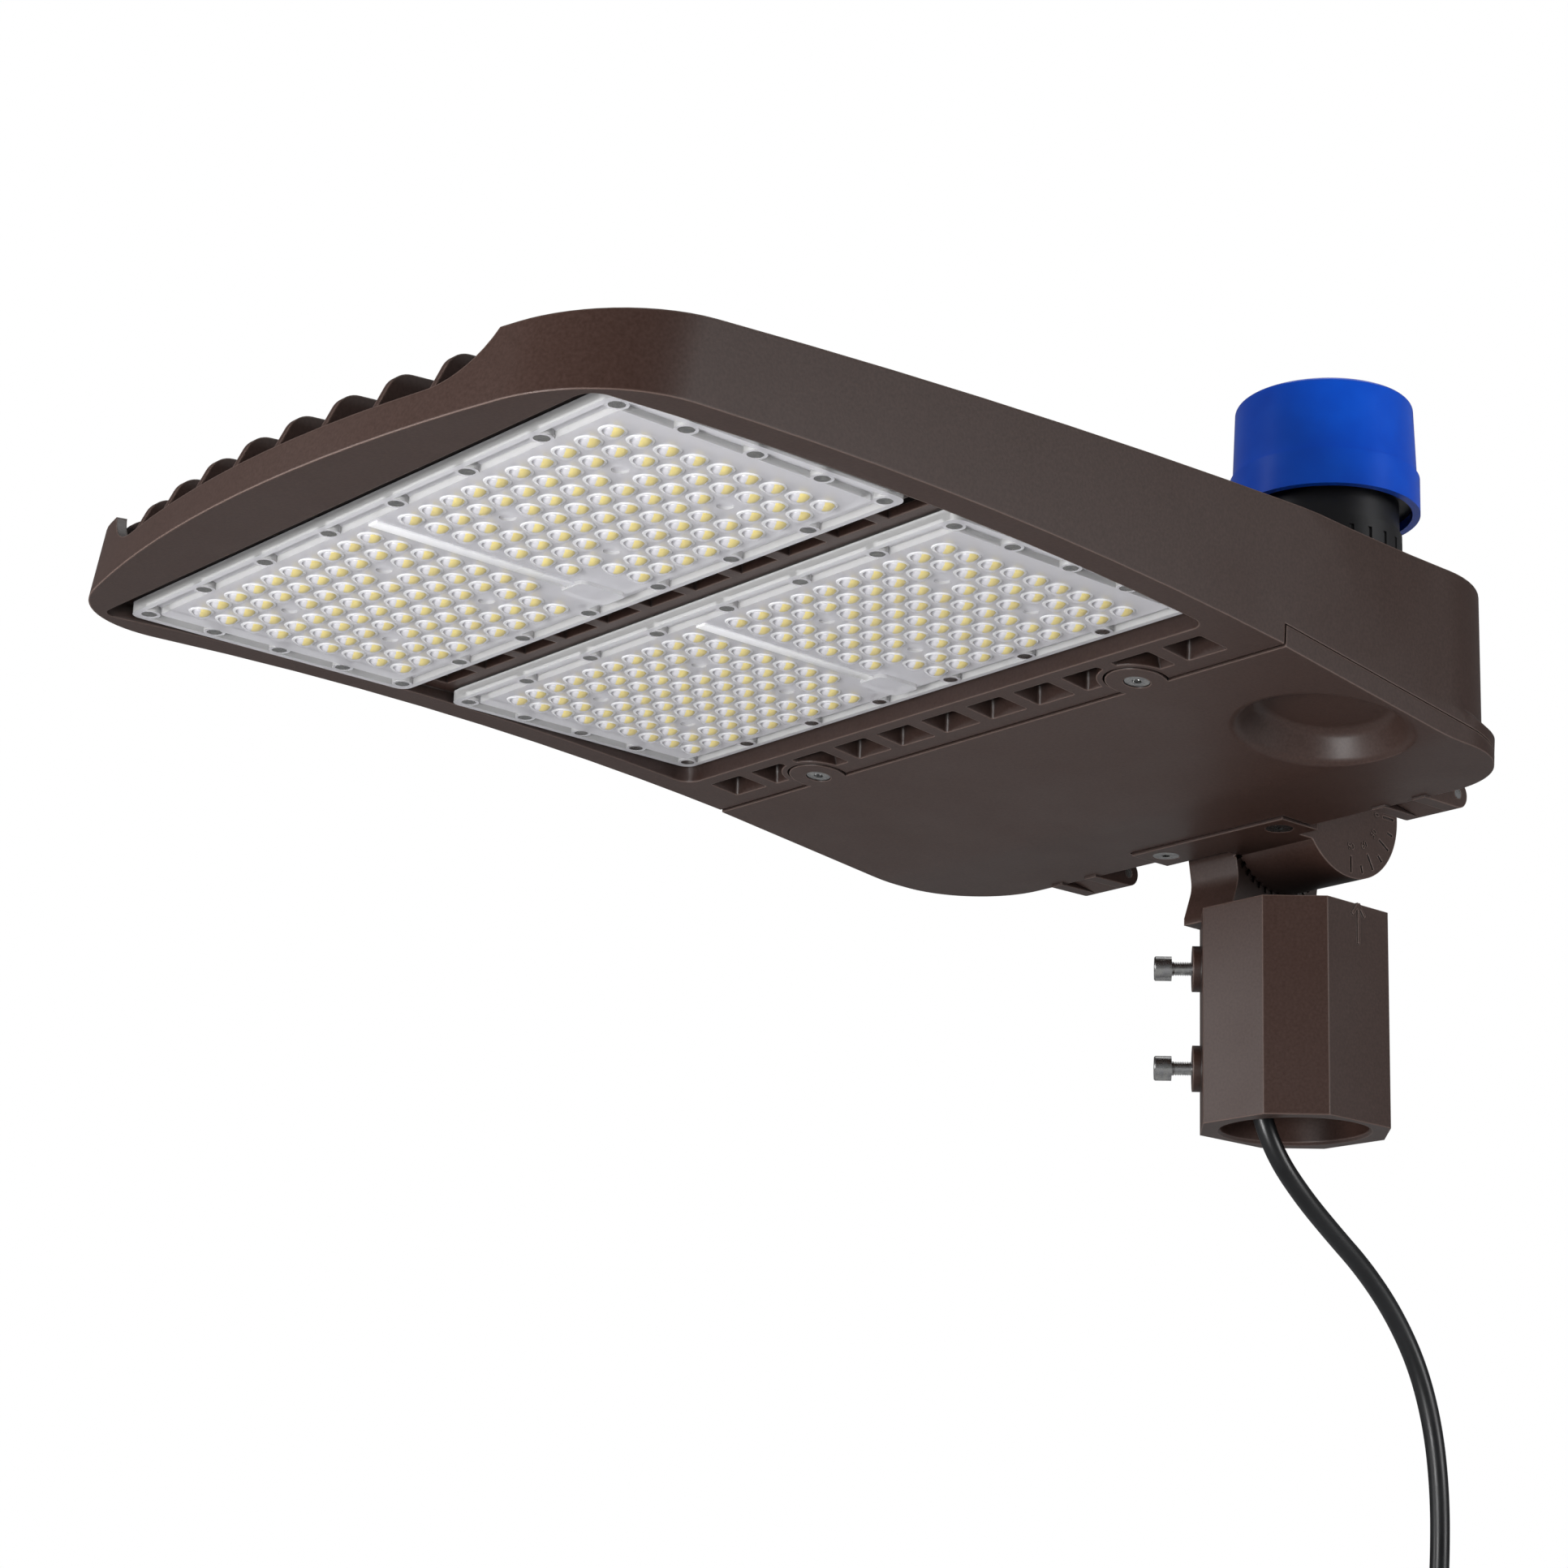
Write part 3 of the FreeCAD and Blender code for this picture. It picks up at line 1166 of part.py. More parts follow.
def make_set_screw(z):
    out = set_direction() * -1
    head_near = SET_HEAD_FAR - SET_HEAD_H
    centre = Vector(0, 0, z)
    tip = BORE_R + SET_TIP_GAP
    shank = Part.makeCylinder(SET_R, head_near - tip + 1, centre + out * tip, out)
    head = Part.makeCylinder(SET_HEAD_R, SET_HEAD_H, centre + out * head_near, out)
    rim = [e for e in head.Edges if e.CenterOfMass.distanceToPoint(centre) > SET_HEAD_FAR - SET_RIM_BEVEL]
    head = head.makeChamfer(SET_RIM_BEVEL, [e for e in rim if e.Closed])
    socket_floor = centre + out * (SET_HEAD_FAR - SET_SOCKET_DEEP)
    hexagon = hex_prism(SET_SOCKET_R, SET_SOCKET_DEEP + OVER, socket_floor, out)
    return cut(fuse([head, shank]), [hexagon])


def hex_prism(radius, length, start, direction):
    corners = [Vector(radius * math.cos(math.radians(60 * k)), radius * math.sin(math.radians(60 * k)), 0)
               for k in range(6)]
    solid = Part.Face(Part.makePolygon(corners + corners[:1])).extrude(Vector(0, 0, length))
    solid.Placement = FreeCAD.Placement(start, FreeCAD.Rotation(Vector(0, 0, 1), direction))
    return solid


# ---- pivot ----
def washer_x():
    return ARM_X0 + BOLT_SINK - WASHER_T


def nut_x():
    return BARREL_X1 - DIAL_WALL - NUT_H - OVER


def make_pivot_bolt():
    start = washer_x() - BOLT_HEAD_H
    head = cyl(BOLT_HEAD_R, (start, 0, PIVOT_Z), (1, 0, 0), BOLT_HEAD_H)
    shank = cyl(BOLT_R, (start, 0, PIVOT_Z), (1, 0, 0), nut_x() + NUT_H - start)
    socket = hex_prism(BOLT_SOCKET_R, BOLT_SOCKET_DEEP + OVER, Vector(start - OVER, 0, PIVOT_Z),
                       Vector(1, 0, 0))
    return cut(fuse([head, shank]), [socket])


def make_pivot_washer():
    ring = cyl(WASHER_R, (washer_x(), 0, PIVOT_Z), (1, 0, 0), WASHER_T)
    return cut(ring, [cyl(BOLT_R + SHAFT_GAP, (washer_x() - 1, 0, PIVOT_Z), (1, 0, 0), WASHER_T + 2)])


def make_pivot_nut():
    radius = NUT_ACROSS / math.sqrt(3)
    nut = hex_prism(radius, NUT_H, Vector(nut_x(), 0, PIVOT_Z), Vector(1, 0, 0))
    return cut(nut, [cyl(BOLT_R + SHAFT_GAP, (nut_x() - 1, 0, PIVOT_Z), (1, 0, 0), NUT_H + 2)])


# ---- tilt bracket ----
def make_bracket():
    """Plate under the head, web up its rear wall and the knuckle's barrel with the dial."""
    rear_face = REAR_Y + BRACKET_GASKET_T
    plate = box(-PLATE_HALF, PLATE_HALF, PLATE_FRONT, REAR_Y, PLATE_Z0, plate_top())
    tail = box(-PLATE_HALF, PLATE_HALF, REAR_Y - 1, PLATE_TAIL_Y, PLATE_Z0, plate_top())
    tail = cut(tail, [cyl(KNUCKLE_R + ARM_SWEEP_GAP, (-100, 0, PIVOT_Z), (1, 0, 0), 100 + BARREL_X0)])
    web = box(BARREL_X0, BARREL_X1, rear_face, 0, PLATE_Z0, WEB_TOP)
    barrel = cyl(KNUCKLE_R, (BARREL_X0, 0, PIVOT_Z), (1, 0, 0), BARREL_X1 - BARREL_X0)
    body = fuse([plate, tail, web, barrel])
    tools = [wireway(BARREL_X0 - 1, BARREL_X1 - DIAL_WALL)]
    tools.append(cyl(BOLT_R + SHAFT_GAP, (BARREL_X0 - 1, 0, PIVOT_Z), (1, 0, 0),
                     BARREL_X1 - DIAL_WALL - BARREL_X0 + 1))
    tools.append(hex_prism(NUT_ACROSS / math.sqrt(3) + SEAT_GAP, NUT_H + OVER,
                           Vector(nut_x(), 0, PIVOT_Z), Vector(1, 0, 0)))
    tools.append(cyl(WIRE_HOLE_R, (WIRE_HOLE_X, REAR_Y - 5, WIRE_HOLE_Z), (0, 1, 0),
                     -REAR_Y + 5 - WIREWAY_R0))
    for x, y in bracket_screw_places():
        tools.append(cyl(BRACKET_SCREW_R + BRACKET_PLAY, (x, y, 100), (0, 0, 1), 60))
        cone_h = BRACKET_HEAD_R - BRACKET_SCREW_R
        tools.append(Part.makeCone(BRACKET_HEAD_R + BRACKET_PLAY, BRACKET_SCREW_R + BRACKET_PLAY, cone_h,
                                   Vector(x, y, PLATE_Z0)))
    tools += dial_ticks()
    tools += tooth_slots(BARREL_X0 - 1, BARREL_X0 + TOOTH_DEPTH)
    return cut(body, tools)


def dial_ticks():
    ticks = []
    for k, angle in enumerate(range(0, 91, TICK_STEP)):
        long = TICK_LONG if k % 2 == 0 else TICK_SHORT
        tick = box(BARREL_X1 - TICK_DEEP, BARREL_X1 + 1, -TICK_WIDE / 2, TICK_WIDE / 2,
                   -TICK_OUT, -TICK_OUT + long)
        tick.rotate(Vector(0, 0, 0), Vector(1, 0, 0), angle)
        ticks.append(tick.translated(Vector(0, 0, PIVOT_Z)))
    return ticks


def make_bracket_gasket():
    """Sheet seal between the bracket and the head's rear wall, round the wire hole."""
    sheet = box(BARREL_X0, BARREL_X1, REAR_Y, REAR_Y + BRACKET_GASKET_T, plate_top(), WEB_TOP)
    return cut(sheet, [cyl(WIRE_HOLE_R, (WIRE_HOLE_X, REAR_Y - 5, WIRE_HOLE_Z), (0, 1, 0), 20)])


def make_bracket_screws():
    screws = []
    for x, y in bracket_screw_places():
        cone_h = BRACKET_HEAD_R - BRACKET_SCREW_R
        low = PLATE_Z0 + SEAT_GAP
        head = Part.makeCone(BRACKET_HEAD_R, BRACKET_SCREW_R, cone_h, Vector(x, y, low))
        shank = cyl(BRACKET_SCREW_R - SHAFT_GAP, (x, y, low), (0, 0, 1), BRACKET_SCREW_LONG)
        socket = hex_prism(BRACKET_SOCKET_R, BRACKET_SOCKET_DEEP + OVER, Vector(x, y, low - OVER),
                           Vector(0, 0, 1))
        screws.append(cut(fuse([head, shank]), [socket]))
    return Part.makeCompound(screws)


# ---- photocontrol ----
def eye(z):
    return (EYE_X, EYE_Y, z)


def socket_z():
    return boss_top() + SOCKET_GASKET_T


def ring_z(outer, inner, z0, z1):
    return cut(cyl(outer, eye(z0), (0, 0, 1), z1 - z0), [cyl(inner, eye(z0 - 1), (0, 0, 1), z1 - z0 + 2)])


def make_socket():
    flange = cyl(SOCKET_R, eye(socket_z()), (0, 0, 1), SOCKET_TOP - socket_z())
    stem = cyl(SOCKET_STEM_R, eye(SOCKET_STEM_Z), (0, 0, 1), SOCKET_TOP - SOCKET_STEM_Z - 1)
    body = fuse([flange, stem])
    slots = []
    half = math.degrees(BLADE_WIDE / 2 / BLADE_RING_R) + BLADE_PLAY
    for turn in EYE_TURNS:
        ring = cut(cyl(BLADE_RING_R + BLADE_T, eye(SOCKET_TOP - BLADE_DOWN - 1), (0, 0, 1), BLADE_DOWN + 3),
                   [cyl(BLADE_RING_R - BLADE_T, eye(SOCKET_TOP - BLADE_DOWN - 2), (0, 0, 1),
                        BLADE_DOWN + 5)])
        slots.append(ring.common(sector(turn - half, turn + TWIST + half)))
    ribs = []
    for k in range(RIBS):
        rib = cyl(RIB_R, (SOCKET_R + EYE_X, EYE_Y, socket_z() + RIB_INSET), (0, 0, 1),
                  SOCKET_TOP - socket_z() - 2 * RIB_INSET)
        rib.rotate(Vector(*eye(0)), Vector(0, 0, 1), 360.0 / RIBS * k)
        ribs.append(rib)
    return cut(body, slots + ribs)


def sector(start, end):
    """Wedge of the space round the photocontrol's axis."""
    far = 60.0
    middle = (start + end) / 2
    corners = [eye(0)]
    for angle in (start, middle, end):
        turn = math.radians(angle)
        corners.append((EYE_X + far * math.cos(turn), EYE_Y + far * math.sin(turn), 0))
    points = [Vector(*p) for p in corners]
    return Part.Face(Part.makePolygon(points + points[:1])).extrude(Vector(0, 0, 400))


def make_blades():
    blades = []
    half = math.degrees(BLADE_WIDE / 2 / BLADE_RING_R)
    low = SOCKET_TOP - BLADE_DOWN
    for turn in EYE_TURNS:
        ring = ring_z(BLADE_RING_R + BLADE_T / 2, BLADE_RING_R - BLADE_T / 2, low, base_z() + BLADE_UP)
        blades.append(ring.common(sector(turn - half, turn + half)))
    return Part.makeCompound(blades)


def base_z():
    return SOCKET_TOP + JOINT_GAP


def make_eye_base():
    neck = cyl(EYE_BASE_R, eye(base_z()), (0, 0, 1), EYE_FLANGE_Z - base_z())
    flange = cyl(EYE_FLANGE_R, eye(EYE_FLANGE_Z), (0, 0, 1), EYE_FLANGE_T)
    body = fuse([neck, flange])
    half = math.degrees(BLADE_WIDE / 2 / BLADE_RING_R)
    pockets = []
    for turn in EYE_TURNS:
        ring = ring_z(BLADE_RING_R + BLADE_T / 2, BLADE_RING_R - BLADE_T / 2, base_z() - OVER,
                      base_z() + BLADE_UP)
        pockets.append(ring.common(sector(turn - half, turn + half)))
    outer = EYE_BASE_R - EYE_SEAL_OUT
    groove = ring_z(outer, outer - EYE_SEAL_WIDE, base_z() - OVER, base_z() + EYE_SEAL_T)
    return cut(body, pockets + [groove])


def make_eye_seal():
    outer = EYE_BASE_R - EYE_SEAL_OUT
    return ring_z(outer, outer - EYE_SEAL_WIDE, SOCKET_TOP + SEAT_GAP, base_z() + EYE_SEAL_T)


def make_eye_board():
    top = EYE_FLANGE_Z + EYE_FLANGE_T
    low = top + CARD_LEG_H
    high = low + CARD_T
    legs = []
    for turn in EYE_TURNS:
        angle = math.radians(turn)
        foot = (EYE_X + CARD_LEG_RING * math.cos(angle), EYE_Y + CARD_LEG_RING * math.sin(angle), top)
        legs.append(cyl(CARD_LEG_R, foot, (0, 0, 1), CARD_LEG_H))
    card = cyl(CARD_R, eye(low), (0, 0, 1), CARD_T)
    room = CAP_TOP_Z - CAP_WALL - high
    relay = box(EYE_X - RELAY_X / 2, EYE_X + RELAY_X / 2, EYE_Y + RELAY_Y[0], EYE_Y + RELAY_Y[1],
                high, high + RELAY_SHARE * room)
    sensor = cyl(SENSOR_R, (EYE_X + SENSOR_AT[0], EYE_Y + SENSOR_AT[1], high), (0, 0, 1),
                 SENSOR_SHARE * room)
    return fuse([card, relay, sensor] + legs)


def make_cap():
    """Moulded cap: plain top, shallow step and an open skirt, seated on the base's flange."""
    skirt = cyl(CAP_SKIRT_R, eye(CAP_Z), (0, 0, 1), CAP_STEP_Z - CAP_Z)
    drum = Part.makeCone(CAP_STEP_R, CAP_TOP_R, CAP_TOP_Z - CAP_STEP_Z, Vector(*eye(CAP_STEP_Z)))
    rim = [e for e in drum.Edges if abs(e.BoundBox.ZMin - CAP_TOP_Z) < 0.01 and e.Closed]
    drum = drum.makeFillet(CAP_EDGE_R, rim)
    seat = EYE_FLANGE_Z + EYE_FLANGE_T
    inner = CAP_TOP_R - CAP_WALL
    tools = [
        cyl(EYE_FLANGE_R, eye(CAP_Z - 1), (0, 0, 1), seat - CAP_Z + 1),
        cyl(inner, eye(CAP_Z), (0, 0, 1), CAP_TOP_Z - CAP_WALL - CAP_Z),
    ]
    return cut(fuse([skirt, drum]), tools)


# ---- everything ----
def save(node, shape):
    shape.exportStep(os.path.join("parts", node + ".step"))
    print(node, shape.isValid(), len(shape.Solids), round(shape.Volume / 1000, 2), "cm3")


def main():
    os.makedirs("parts", exist_ok=True)
    block = head_block()
    save("slip_fitter", make_slip_fitter())
    save("pivot_bolt", make_pivot_bolt())
    save("pivot_washer", make_pivot_washer())
    save("pivot_nut", make_pivot_nut())
    save("cord_grommet", make_grommet())
    save("supply_lead", make_lead())
    save("lead_conductors", make_lead_cores())
    for name, z in zip(("set_screw_upper", "set_screw_lower"), SET_Z):
        save(name, make_set_screw(z))
    save("tilt_bracket", make_bracket())
    save("bracket_gasket", make_bracket_gasket())
    save("bracket_screws", make_bracket_screws())
    save("housing", make_housing(block))
    for name, plate_y in zip(("front", "rear"), PLATE_Y):
        save("lens_plate_" + name, make_lens_plate(plate_y))
        save("lens_gasket_" + name, make_lens_gasket(plate_y))
        for side_name, side in (("left", -1), ("right", 1)):
            save("led_board_" + name + "_" + side_name, make_board(plate_y, side))
    save("lens_screws", make_lens_screws())
    save("board_screws", make_board_screws())
    save("led_packages", make_leds())
    save("board_plugs", make_board_plugs())
    save("driver_door", make_door(block))
    for name, side in (("left", -1), ("right", 1)):
        save("door_screw_" + name, make_door_screw(side))
    save("door_seal", make_door_seal())
    save("hinge_pins", make_hinge_pins())
    save("led_driver", make_driver())
    save("driver_screws", make_driver_screws())
    save("surge_protector", make_surge_protector())
    save("terminal_block", make_terminal_block())
    save("supply_wires", make_supply_wires())
    save("photocontrol_socket", make_socket())
    save("socket_gasket", ring_z(SOCKET_R - 1, SOCKET_STEM_R + SEAT_GAP, boss_top(), socket_z()))
    save("socket_locknut", ring_z(LOCKNUT_R, SOCKET_STEM_R + SHAFT_GAP, ROOF_UNDER - LOCKNUT_T, ROOF_UNDER))
    save("photocontrol_base", make_eye_base())
    save("photocontrol_seal", make_eye_seal())
    save("photocontrol_blades", make_blades())
    save("photocontrol_board", make_eye_board())
    save("photocontrol_cap", make_cap())


if __name__ == "__main__":
    main()
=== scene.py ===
import json
import math

import bmesh
import bpy
from mathutils import Matrix, Vector

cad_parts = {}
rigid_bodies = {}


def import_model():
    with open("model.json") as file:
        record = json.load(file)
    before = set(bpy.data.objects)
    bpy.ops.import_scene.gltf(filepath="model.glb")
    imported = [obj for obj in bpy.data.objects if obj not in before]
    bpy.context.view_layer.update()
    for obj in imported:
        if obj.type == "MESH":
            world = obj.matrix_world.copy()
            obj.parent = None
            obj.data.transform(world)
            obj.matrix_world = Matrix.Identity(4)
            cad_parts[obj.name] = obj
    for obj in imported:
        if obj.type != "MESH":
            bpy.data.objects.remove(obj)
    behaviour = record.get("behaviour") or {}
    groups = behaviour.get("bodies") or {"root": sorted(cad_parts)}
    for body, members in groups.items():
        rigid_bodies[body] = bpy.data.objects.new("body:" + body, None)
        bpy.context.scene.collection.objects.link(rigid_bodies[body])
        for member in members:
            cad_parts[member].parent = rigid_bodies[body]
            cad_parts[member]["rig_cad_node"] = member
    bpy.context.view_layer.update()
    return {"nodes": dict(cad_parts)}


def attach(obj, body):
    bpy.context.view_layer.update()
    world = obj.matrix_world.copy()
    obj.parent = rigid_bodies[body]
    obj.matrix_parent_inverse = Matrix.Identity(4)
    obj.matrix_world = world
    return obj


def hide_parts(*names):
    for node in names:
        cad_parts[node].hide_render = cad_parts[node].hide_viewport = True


bl_info = {
    "name": "Shoebox area light",
    "version": (1, 0, 0),
    "blender": (4, 5, 0),
    "location": "3D View > Sidebar > Area light",
    "description": "Dresses the area light's solids with its finishes and fine pieces",
    "category": "Object",
}

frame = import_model()
NODES = frame["nodes"]
MM = 0.001

# The supply lead's route, from the knuckle down through the bore and out of its mouth, its
# radius, and the height below which its conductors are bare, in millimetres.
LEAD_ROUTE = (
    (-20.0, 0.0, 95.0), (-18.5, -5.0, 72.0), (-12.0, -15.0, 49.0), (-4.0, -22.5, 27.0),
    (1.5, -24.0, 6.0), (4.0, -16.5, -13.0), (5.0, -1.0, -28.0), (5.0, 18.0, -41.0),
    (5.0, 38.5, -54.0), (5.5, 57.0, -71.0), (7.0, 70.5, -92.0), (8.5, 78.0, -117.0),
    (9.0, 81.0, -144.0), (8.0, 81.5, -172.0), (6.0, 80.5, -200.0), (4.0, 78.5, -228.0),
)
LEAD_RADIUS = 4.15
STRIPPED_BELOW = -251.0

# Where the lights, the dial and the set screws stand on the solids, in millimetres. Rows and
# columns are counted from 0 and from 1. The thread's root is a share of the shank's radius.
PLATE_Y = (-417.9, -276.2)
PITCH = (12.11, 10.902)
COLUMNS = 10
ROWS = 9
SCREW_COLUMNS = (3, 8)
SCREW_ROWS = (2, 6)
PLUG_COLUMN = 1
PLUG_ROWS = (7, 8)
PANEL_Z = 140.4
LENS_R = 4.75
COVER_HALF = 7.0
TRAY_HALF_Y = 51.0
DIAL_X = 32.0
DIAL_Z = 135.0
NUMBER_RING = 17.5
NUMBER_DEPTH = 0.3
BORE_OUT = Vector((-1.0, -1.0, 0.0)).normalized()
SET_SCREW_Z = {"upper": 69.2, "lower": 26.2}
SHANK_TIP = 33.0
SHANK_HEAD = 51.2
THREAD_ROOT = 0.84

# The fine shapes of the lenses and ribs, in millimetres. A half size is along X, Y and Z.
RIM_DEPTH = 0.4
RIM_IN = (0.05, 0.4)
DOME_BASE_Z = PANEL_Z + 0.4
HOLLOW_HALF = (3.75, 3.75, 2.4)
IMAGE_HALF = (3.6, 3.1, 2.5)
IMAGE_SHIFT = (0.6, 0.25)
RIB_Z = PANEL_Z - 0.35
RIB_DEPTH = 0.9
RIB_EDGE = 0.2
RIB_SHORT = 12.0

# Where the camera, the floor and the point that the lamps face stand, in metres.
CAMERA_PLACE = (0.88242, -1.03049, -0.252)
FLOOR_PLACE = (0.0, -0.2, -0.45)
LAMP_AIM = Vector((0.0, -0.25, 0.12))


def hex_colour(code):
    """sRGB hex as linear red, green and blue."""
    parts = [int(code[i:i + 2], 16) / 255 for i in (1, 3, 5)]
    return tuple(p / 12.92 if p <= 0.04045 else ((p + 0.055) / 1.055) ** 2.4 for p in parts)


def colour_of(value):
    return (*value, 1.0)


def finish_colour(name, description, code):
    return bpy.props.FloatVectorProperty(
        name=name, description=description, subtype="COLOR", size=3, min=0.0, max=1.0,
        default=hex_colour(code),
    )


def length_of(name, description, value):
    return bpy.props.FloatProperty(
        name=name, description=description, default=value, min=0.0, unit="LENGTH", precision=5,
    )


class AreaLightFinishes(bpy.types.PropertyGroup):
    """Colours of the area light's finishes"""

    bronze: finish_colour("Powder coat", "Dark bronze paint of the castings", "#35221b")
    bronze_light: finish_colour("Powder coat fleck", "Paler grains in the bronze paint", "#412e28")
    # Painted highlight: paler colour along the castings' edges, where light catches them.
    bronze_edge_highlight: finish_colour("Powder coat edge highlight", "Painted highlight along the edges", "#7d6860")
    # Painted shade: near-black colour where slots and corners keep out the light.
    bronze_recess_shade: finish_colour("Powder coat recess shade", "Painted shade in slots and corners", "#150d0b")
    steel: finish_colour("Stainless steel", "Set screws and small fasteners", "#b9b9b6")
    cap: finish_colour("Photocontrol cap", "Royal blue moulding", "#0052dc")
    black: finish_colour("Black moulding", "Receptacle and photocontrol base", "#151517")
    jacket: finish_colour("Lead jacket", "Black rubber-like sheath of the supply lead", "#0b0c0e")
    seal: finish_colour("Silicone seal", "Grey seals", "#9a9a98")
    board: finish_colour("Light board", "White solder mask", "#eceaea")
    phosphor: finish_colour("Phosphor", "Yellow face of each light", "#e0cc58")
    copper: finish_colour("Copper", "Bare wire ends", "#c98a62")
    driver: finish_colour("Driver case", "Satin aluminium case", "#c2c4c6")


class AreaLightSizes(bpy.types.PropertyGroup):
    """Sizes of the area light's fine pieces"""

    edge: length_of("Edge softness", "Radius that the castings' edges catch light on", 0.001)
    grain: length_of("Paint grain", "Size of the powder coat's grains as drawn", 0.0011)
    thread_pitch: length_of("Thread pitch", "Pitch of the set screws' thread", 0.001)
    number_height: length_of("Number height", "Height of the dial's numbers", 0.0042)
    rib_width: length_of("Centre rib", "Width of the white rib down each lens plate", 0.005)


def finishes():
    return bpy.context.scene.area_light_finishes


def sizes():
    return bpy.context.scene.area_light_sizes


# ---- nodes and materials ----
def add_node(tree, kind, settings=None):
    """Adds a node; a setting is one of its inputs, a value or a link, or its own property."""
    node = tree.nodes.new(kind)
    for name, value in (settings or {}).items():
        if isinstance(value, bpy.types.NodeSocket):
            tree.links.new(value, node.inputs[name])
        elif isinstance(name, int) or name in node.inputs:
            node.inputs[name].default_value = value
        else:
            setattr(node, name, value)
    return node


def new_material(name):
    """Material with only its output node, and that node's surface socket."""
    material = bpy.data.materials.new(name)
    material.use_nodes = True
    tree = material.node_tree
    tree.nodes.clear()
    output = add_node(tree, "ShaderNodeOutputMaterial")
    return material, tree, output.inputs["Surface"]


def object_place(tree):
    return add_node(tree, "ShaderNodeTexCoord").outputs["Object"]


def math_node(tree, operation, value, other=0.5):
    """Result of a sum; one that takes a single value leaves the other unread."""
    return add_node(tree, "ShaderNodeMath", {"operation": operation, 0: value, 1: other}).outputs[0]


def noise(tree, place, size, detail=2.0):
    settings = {"Scale": 1 / size, "Detail": detail, "Vector": place}
    return add_node(tree, "ShaderNodeTexNoise", settings).outputs["Fac"]


def spread(tree, value, low, high):
    """The middle of a noise, stretched to run from low to high."""
    settings = {"From Min": 0.3, "From Max": 0.7, "To Min": low, "To Max": high, "Value": value}
    return add_node(tree, "ShaderNodeMapRange", settings).outputs["Result"]


def blend(tree, share, first, second):
    """Mix of two colours, each given as a value or a link."""
    settings = {"data_type": "RGBA", 0: share}
    for socket, colour in ((6, first), (7, second)):
        linked = isinstance(colour, bpy.types.NodeSocket)
        settings[socket] = colour if linked else colour_of(colour)
    return add_node(tree, "ShaderNodeMix", settings).outputs[2]


def relief(tree, height, depth, strength, normal=None):
    settings = {"Strength": strength, "Distance": depth, "Height": height}
    if normal is not None:
        settings["Normal"] = normal
    return add_node(tree, "ShaderNodeBump", settings).outputs["Normal"]


def openness(tree, distance, shut, clear):
    """How open the surface is within a distance, from 0 where it is shut in to 1."""
    around = add_node(tree, "ShaderNodeAmbientOcclusion", {"Distance": distance, "samples": 5})
    settings = {"From Min": shut, "From Max": clear, "Value": around.outputs["AO"]}
    return add_node(tree, "ShaderNodeMapRange", settings).outputs["Result"]


def powder_coat():
    """Polyester powder coat on die-cast aluminium: satin, with a fine pebbled grain.

    The real grain is about 0.3 mm and is drawn coarser so that it shows. The cast edges
    under it are soft and get a thin painted highlight, and the recesses get painted shade."""
    material, tree, surface = new_material("bronze powder coat")
    place = object_place(tree)
    grain = noise(tree, place, sizes().grain, 3.0)
    cloud = noise(tree, place, 45 * MM)
    body = blend(tree, spread(tree, grain, 0.0, 1.0), finishes().bronze, finishes().bronze_light)
    soft = add_node(tree, "ShaderNodeBevel", {"Radius": sizes().edge, "samples": 6}).outputs["Normal"]
    true = add_node(tree, "ShaderNodeNewGeometry").outputs["Normal"]
    apart = add_node(tree, "ShaderNodeVectorMath", {"operation": "DOT_PRODUCT", 0: soft, 1: true})
    # Painted highlight: the colour turns paler along edges, where the bevelled normal parts from the
    # true one.
    rim = add_node(tree, "ShaderNodeMapRange", {
        "From Min": 0.99, "From Max": 0.86, "Value": apart.outputs["Value"],
    }).outputs["Result"]
    # Painted shade: ambient occlusion darkens slots and corners towards the recess colour.
    slots = openness(tree, 40 * MM, 0.15, 0.7)
    corners = openness(tree, 1.5 * MM, 0.5, 0.85)
    lit = math_node(tree, "MULTIPLY", slots, corners)
    edged = blend(tree, math_node(tree, "MULTIPLY", rim, lit), body, finishes().bronze_edge_highlight)
    shader = add_node(tree, "ShaderNodeBsdfPrincipled", {
        "Base Color": blend(tree, lit, finishes().bronze_recess_shade, edged),
        "Roughness": spread(tree, cloud, 0.38, 0.45),
        "Normal": relief(tree, grain, 0.05 * MM, 0.5, soft),
    })
    tree.links.new(shader.outputs["BSDF"], surface)
    return material


def machined_steel(name="stainless steel, turned"):
    """Stainless steel or tinned brass: bright, with fine tool marks and faint smears."""
    material, tree, surface = new_material(name)
    place = object_place(tree)
    smear = noise(tree, place, 2.5 * MM, 4.0)
    marks = noise(tree, place, 0.35 * MM)
    dull = spread(tree, smear, 0.0, 1.0)
    shader = add_node(tree, "ShaderNodeBsdfPrincipled", {
        "Metallic": 1.0,
        "Base Color": blend(tree, dull, finishes().steel, hex_colour("#97979a")),
        "Roughness": spread(tree, smear, 0.2, 0.36),
        "Normal": relief(tree, marks, 0.02 * MM, 0.25),
    })
    tree.links.new(shader.outputs["BSDF"], surface)
    return material


def moulding(name, colour, other, low, high, grain, depth=0.02 * MM, strength=0.25):
    """Injection-moulded or extruded plastic or rubber: even colour, with the mould's fine grain."""
    material, tree, surface = new_material(name)
    place = object_place(tree)
    fine = noise(tree, place, grain)
    cloud = noise(tree, place, 18 * MM)
    shader = add_node(tree, "ShaderNodeBsdfPrincipled", {
        "IOR": 1.49,
        "Base Color": blend(tree, spread(tree, cloud, 0.0, 1.0), colour, other),
        "Roughness": spread(tree, cloud, low, high),
        "Normal": relief(tree, fine, depth, strength),
    })
    tree.links.new(shader.outputs["BSDF"], surface)
    return material


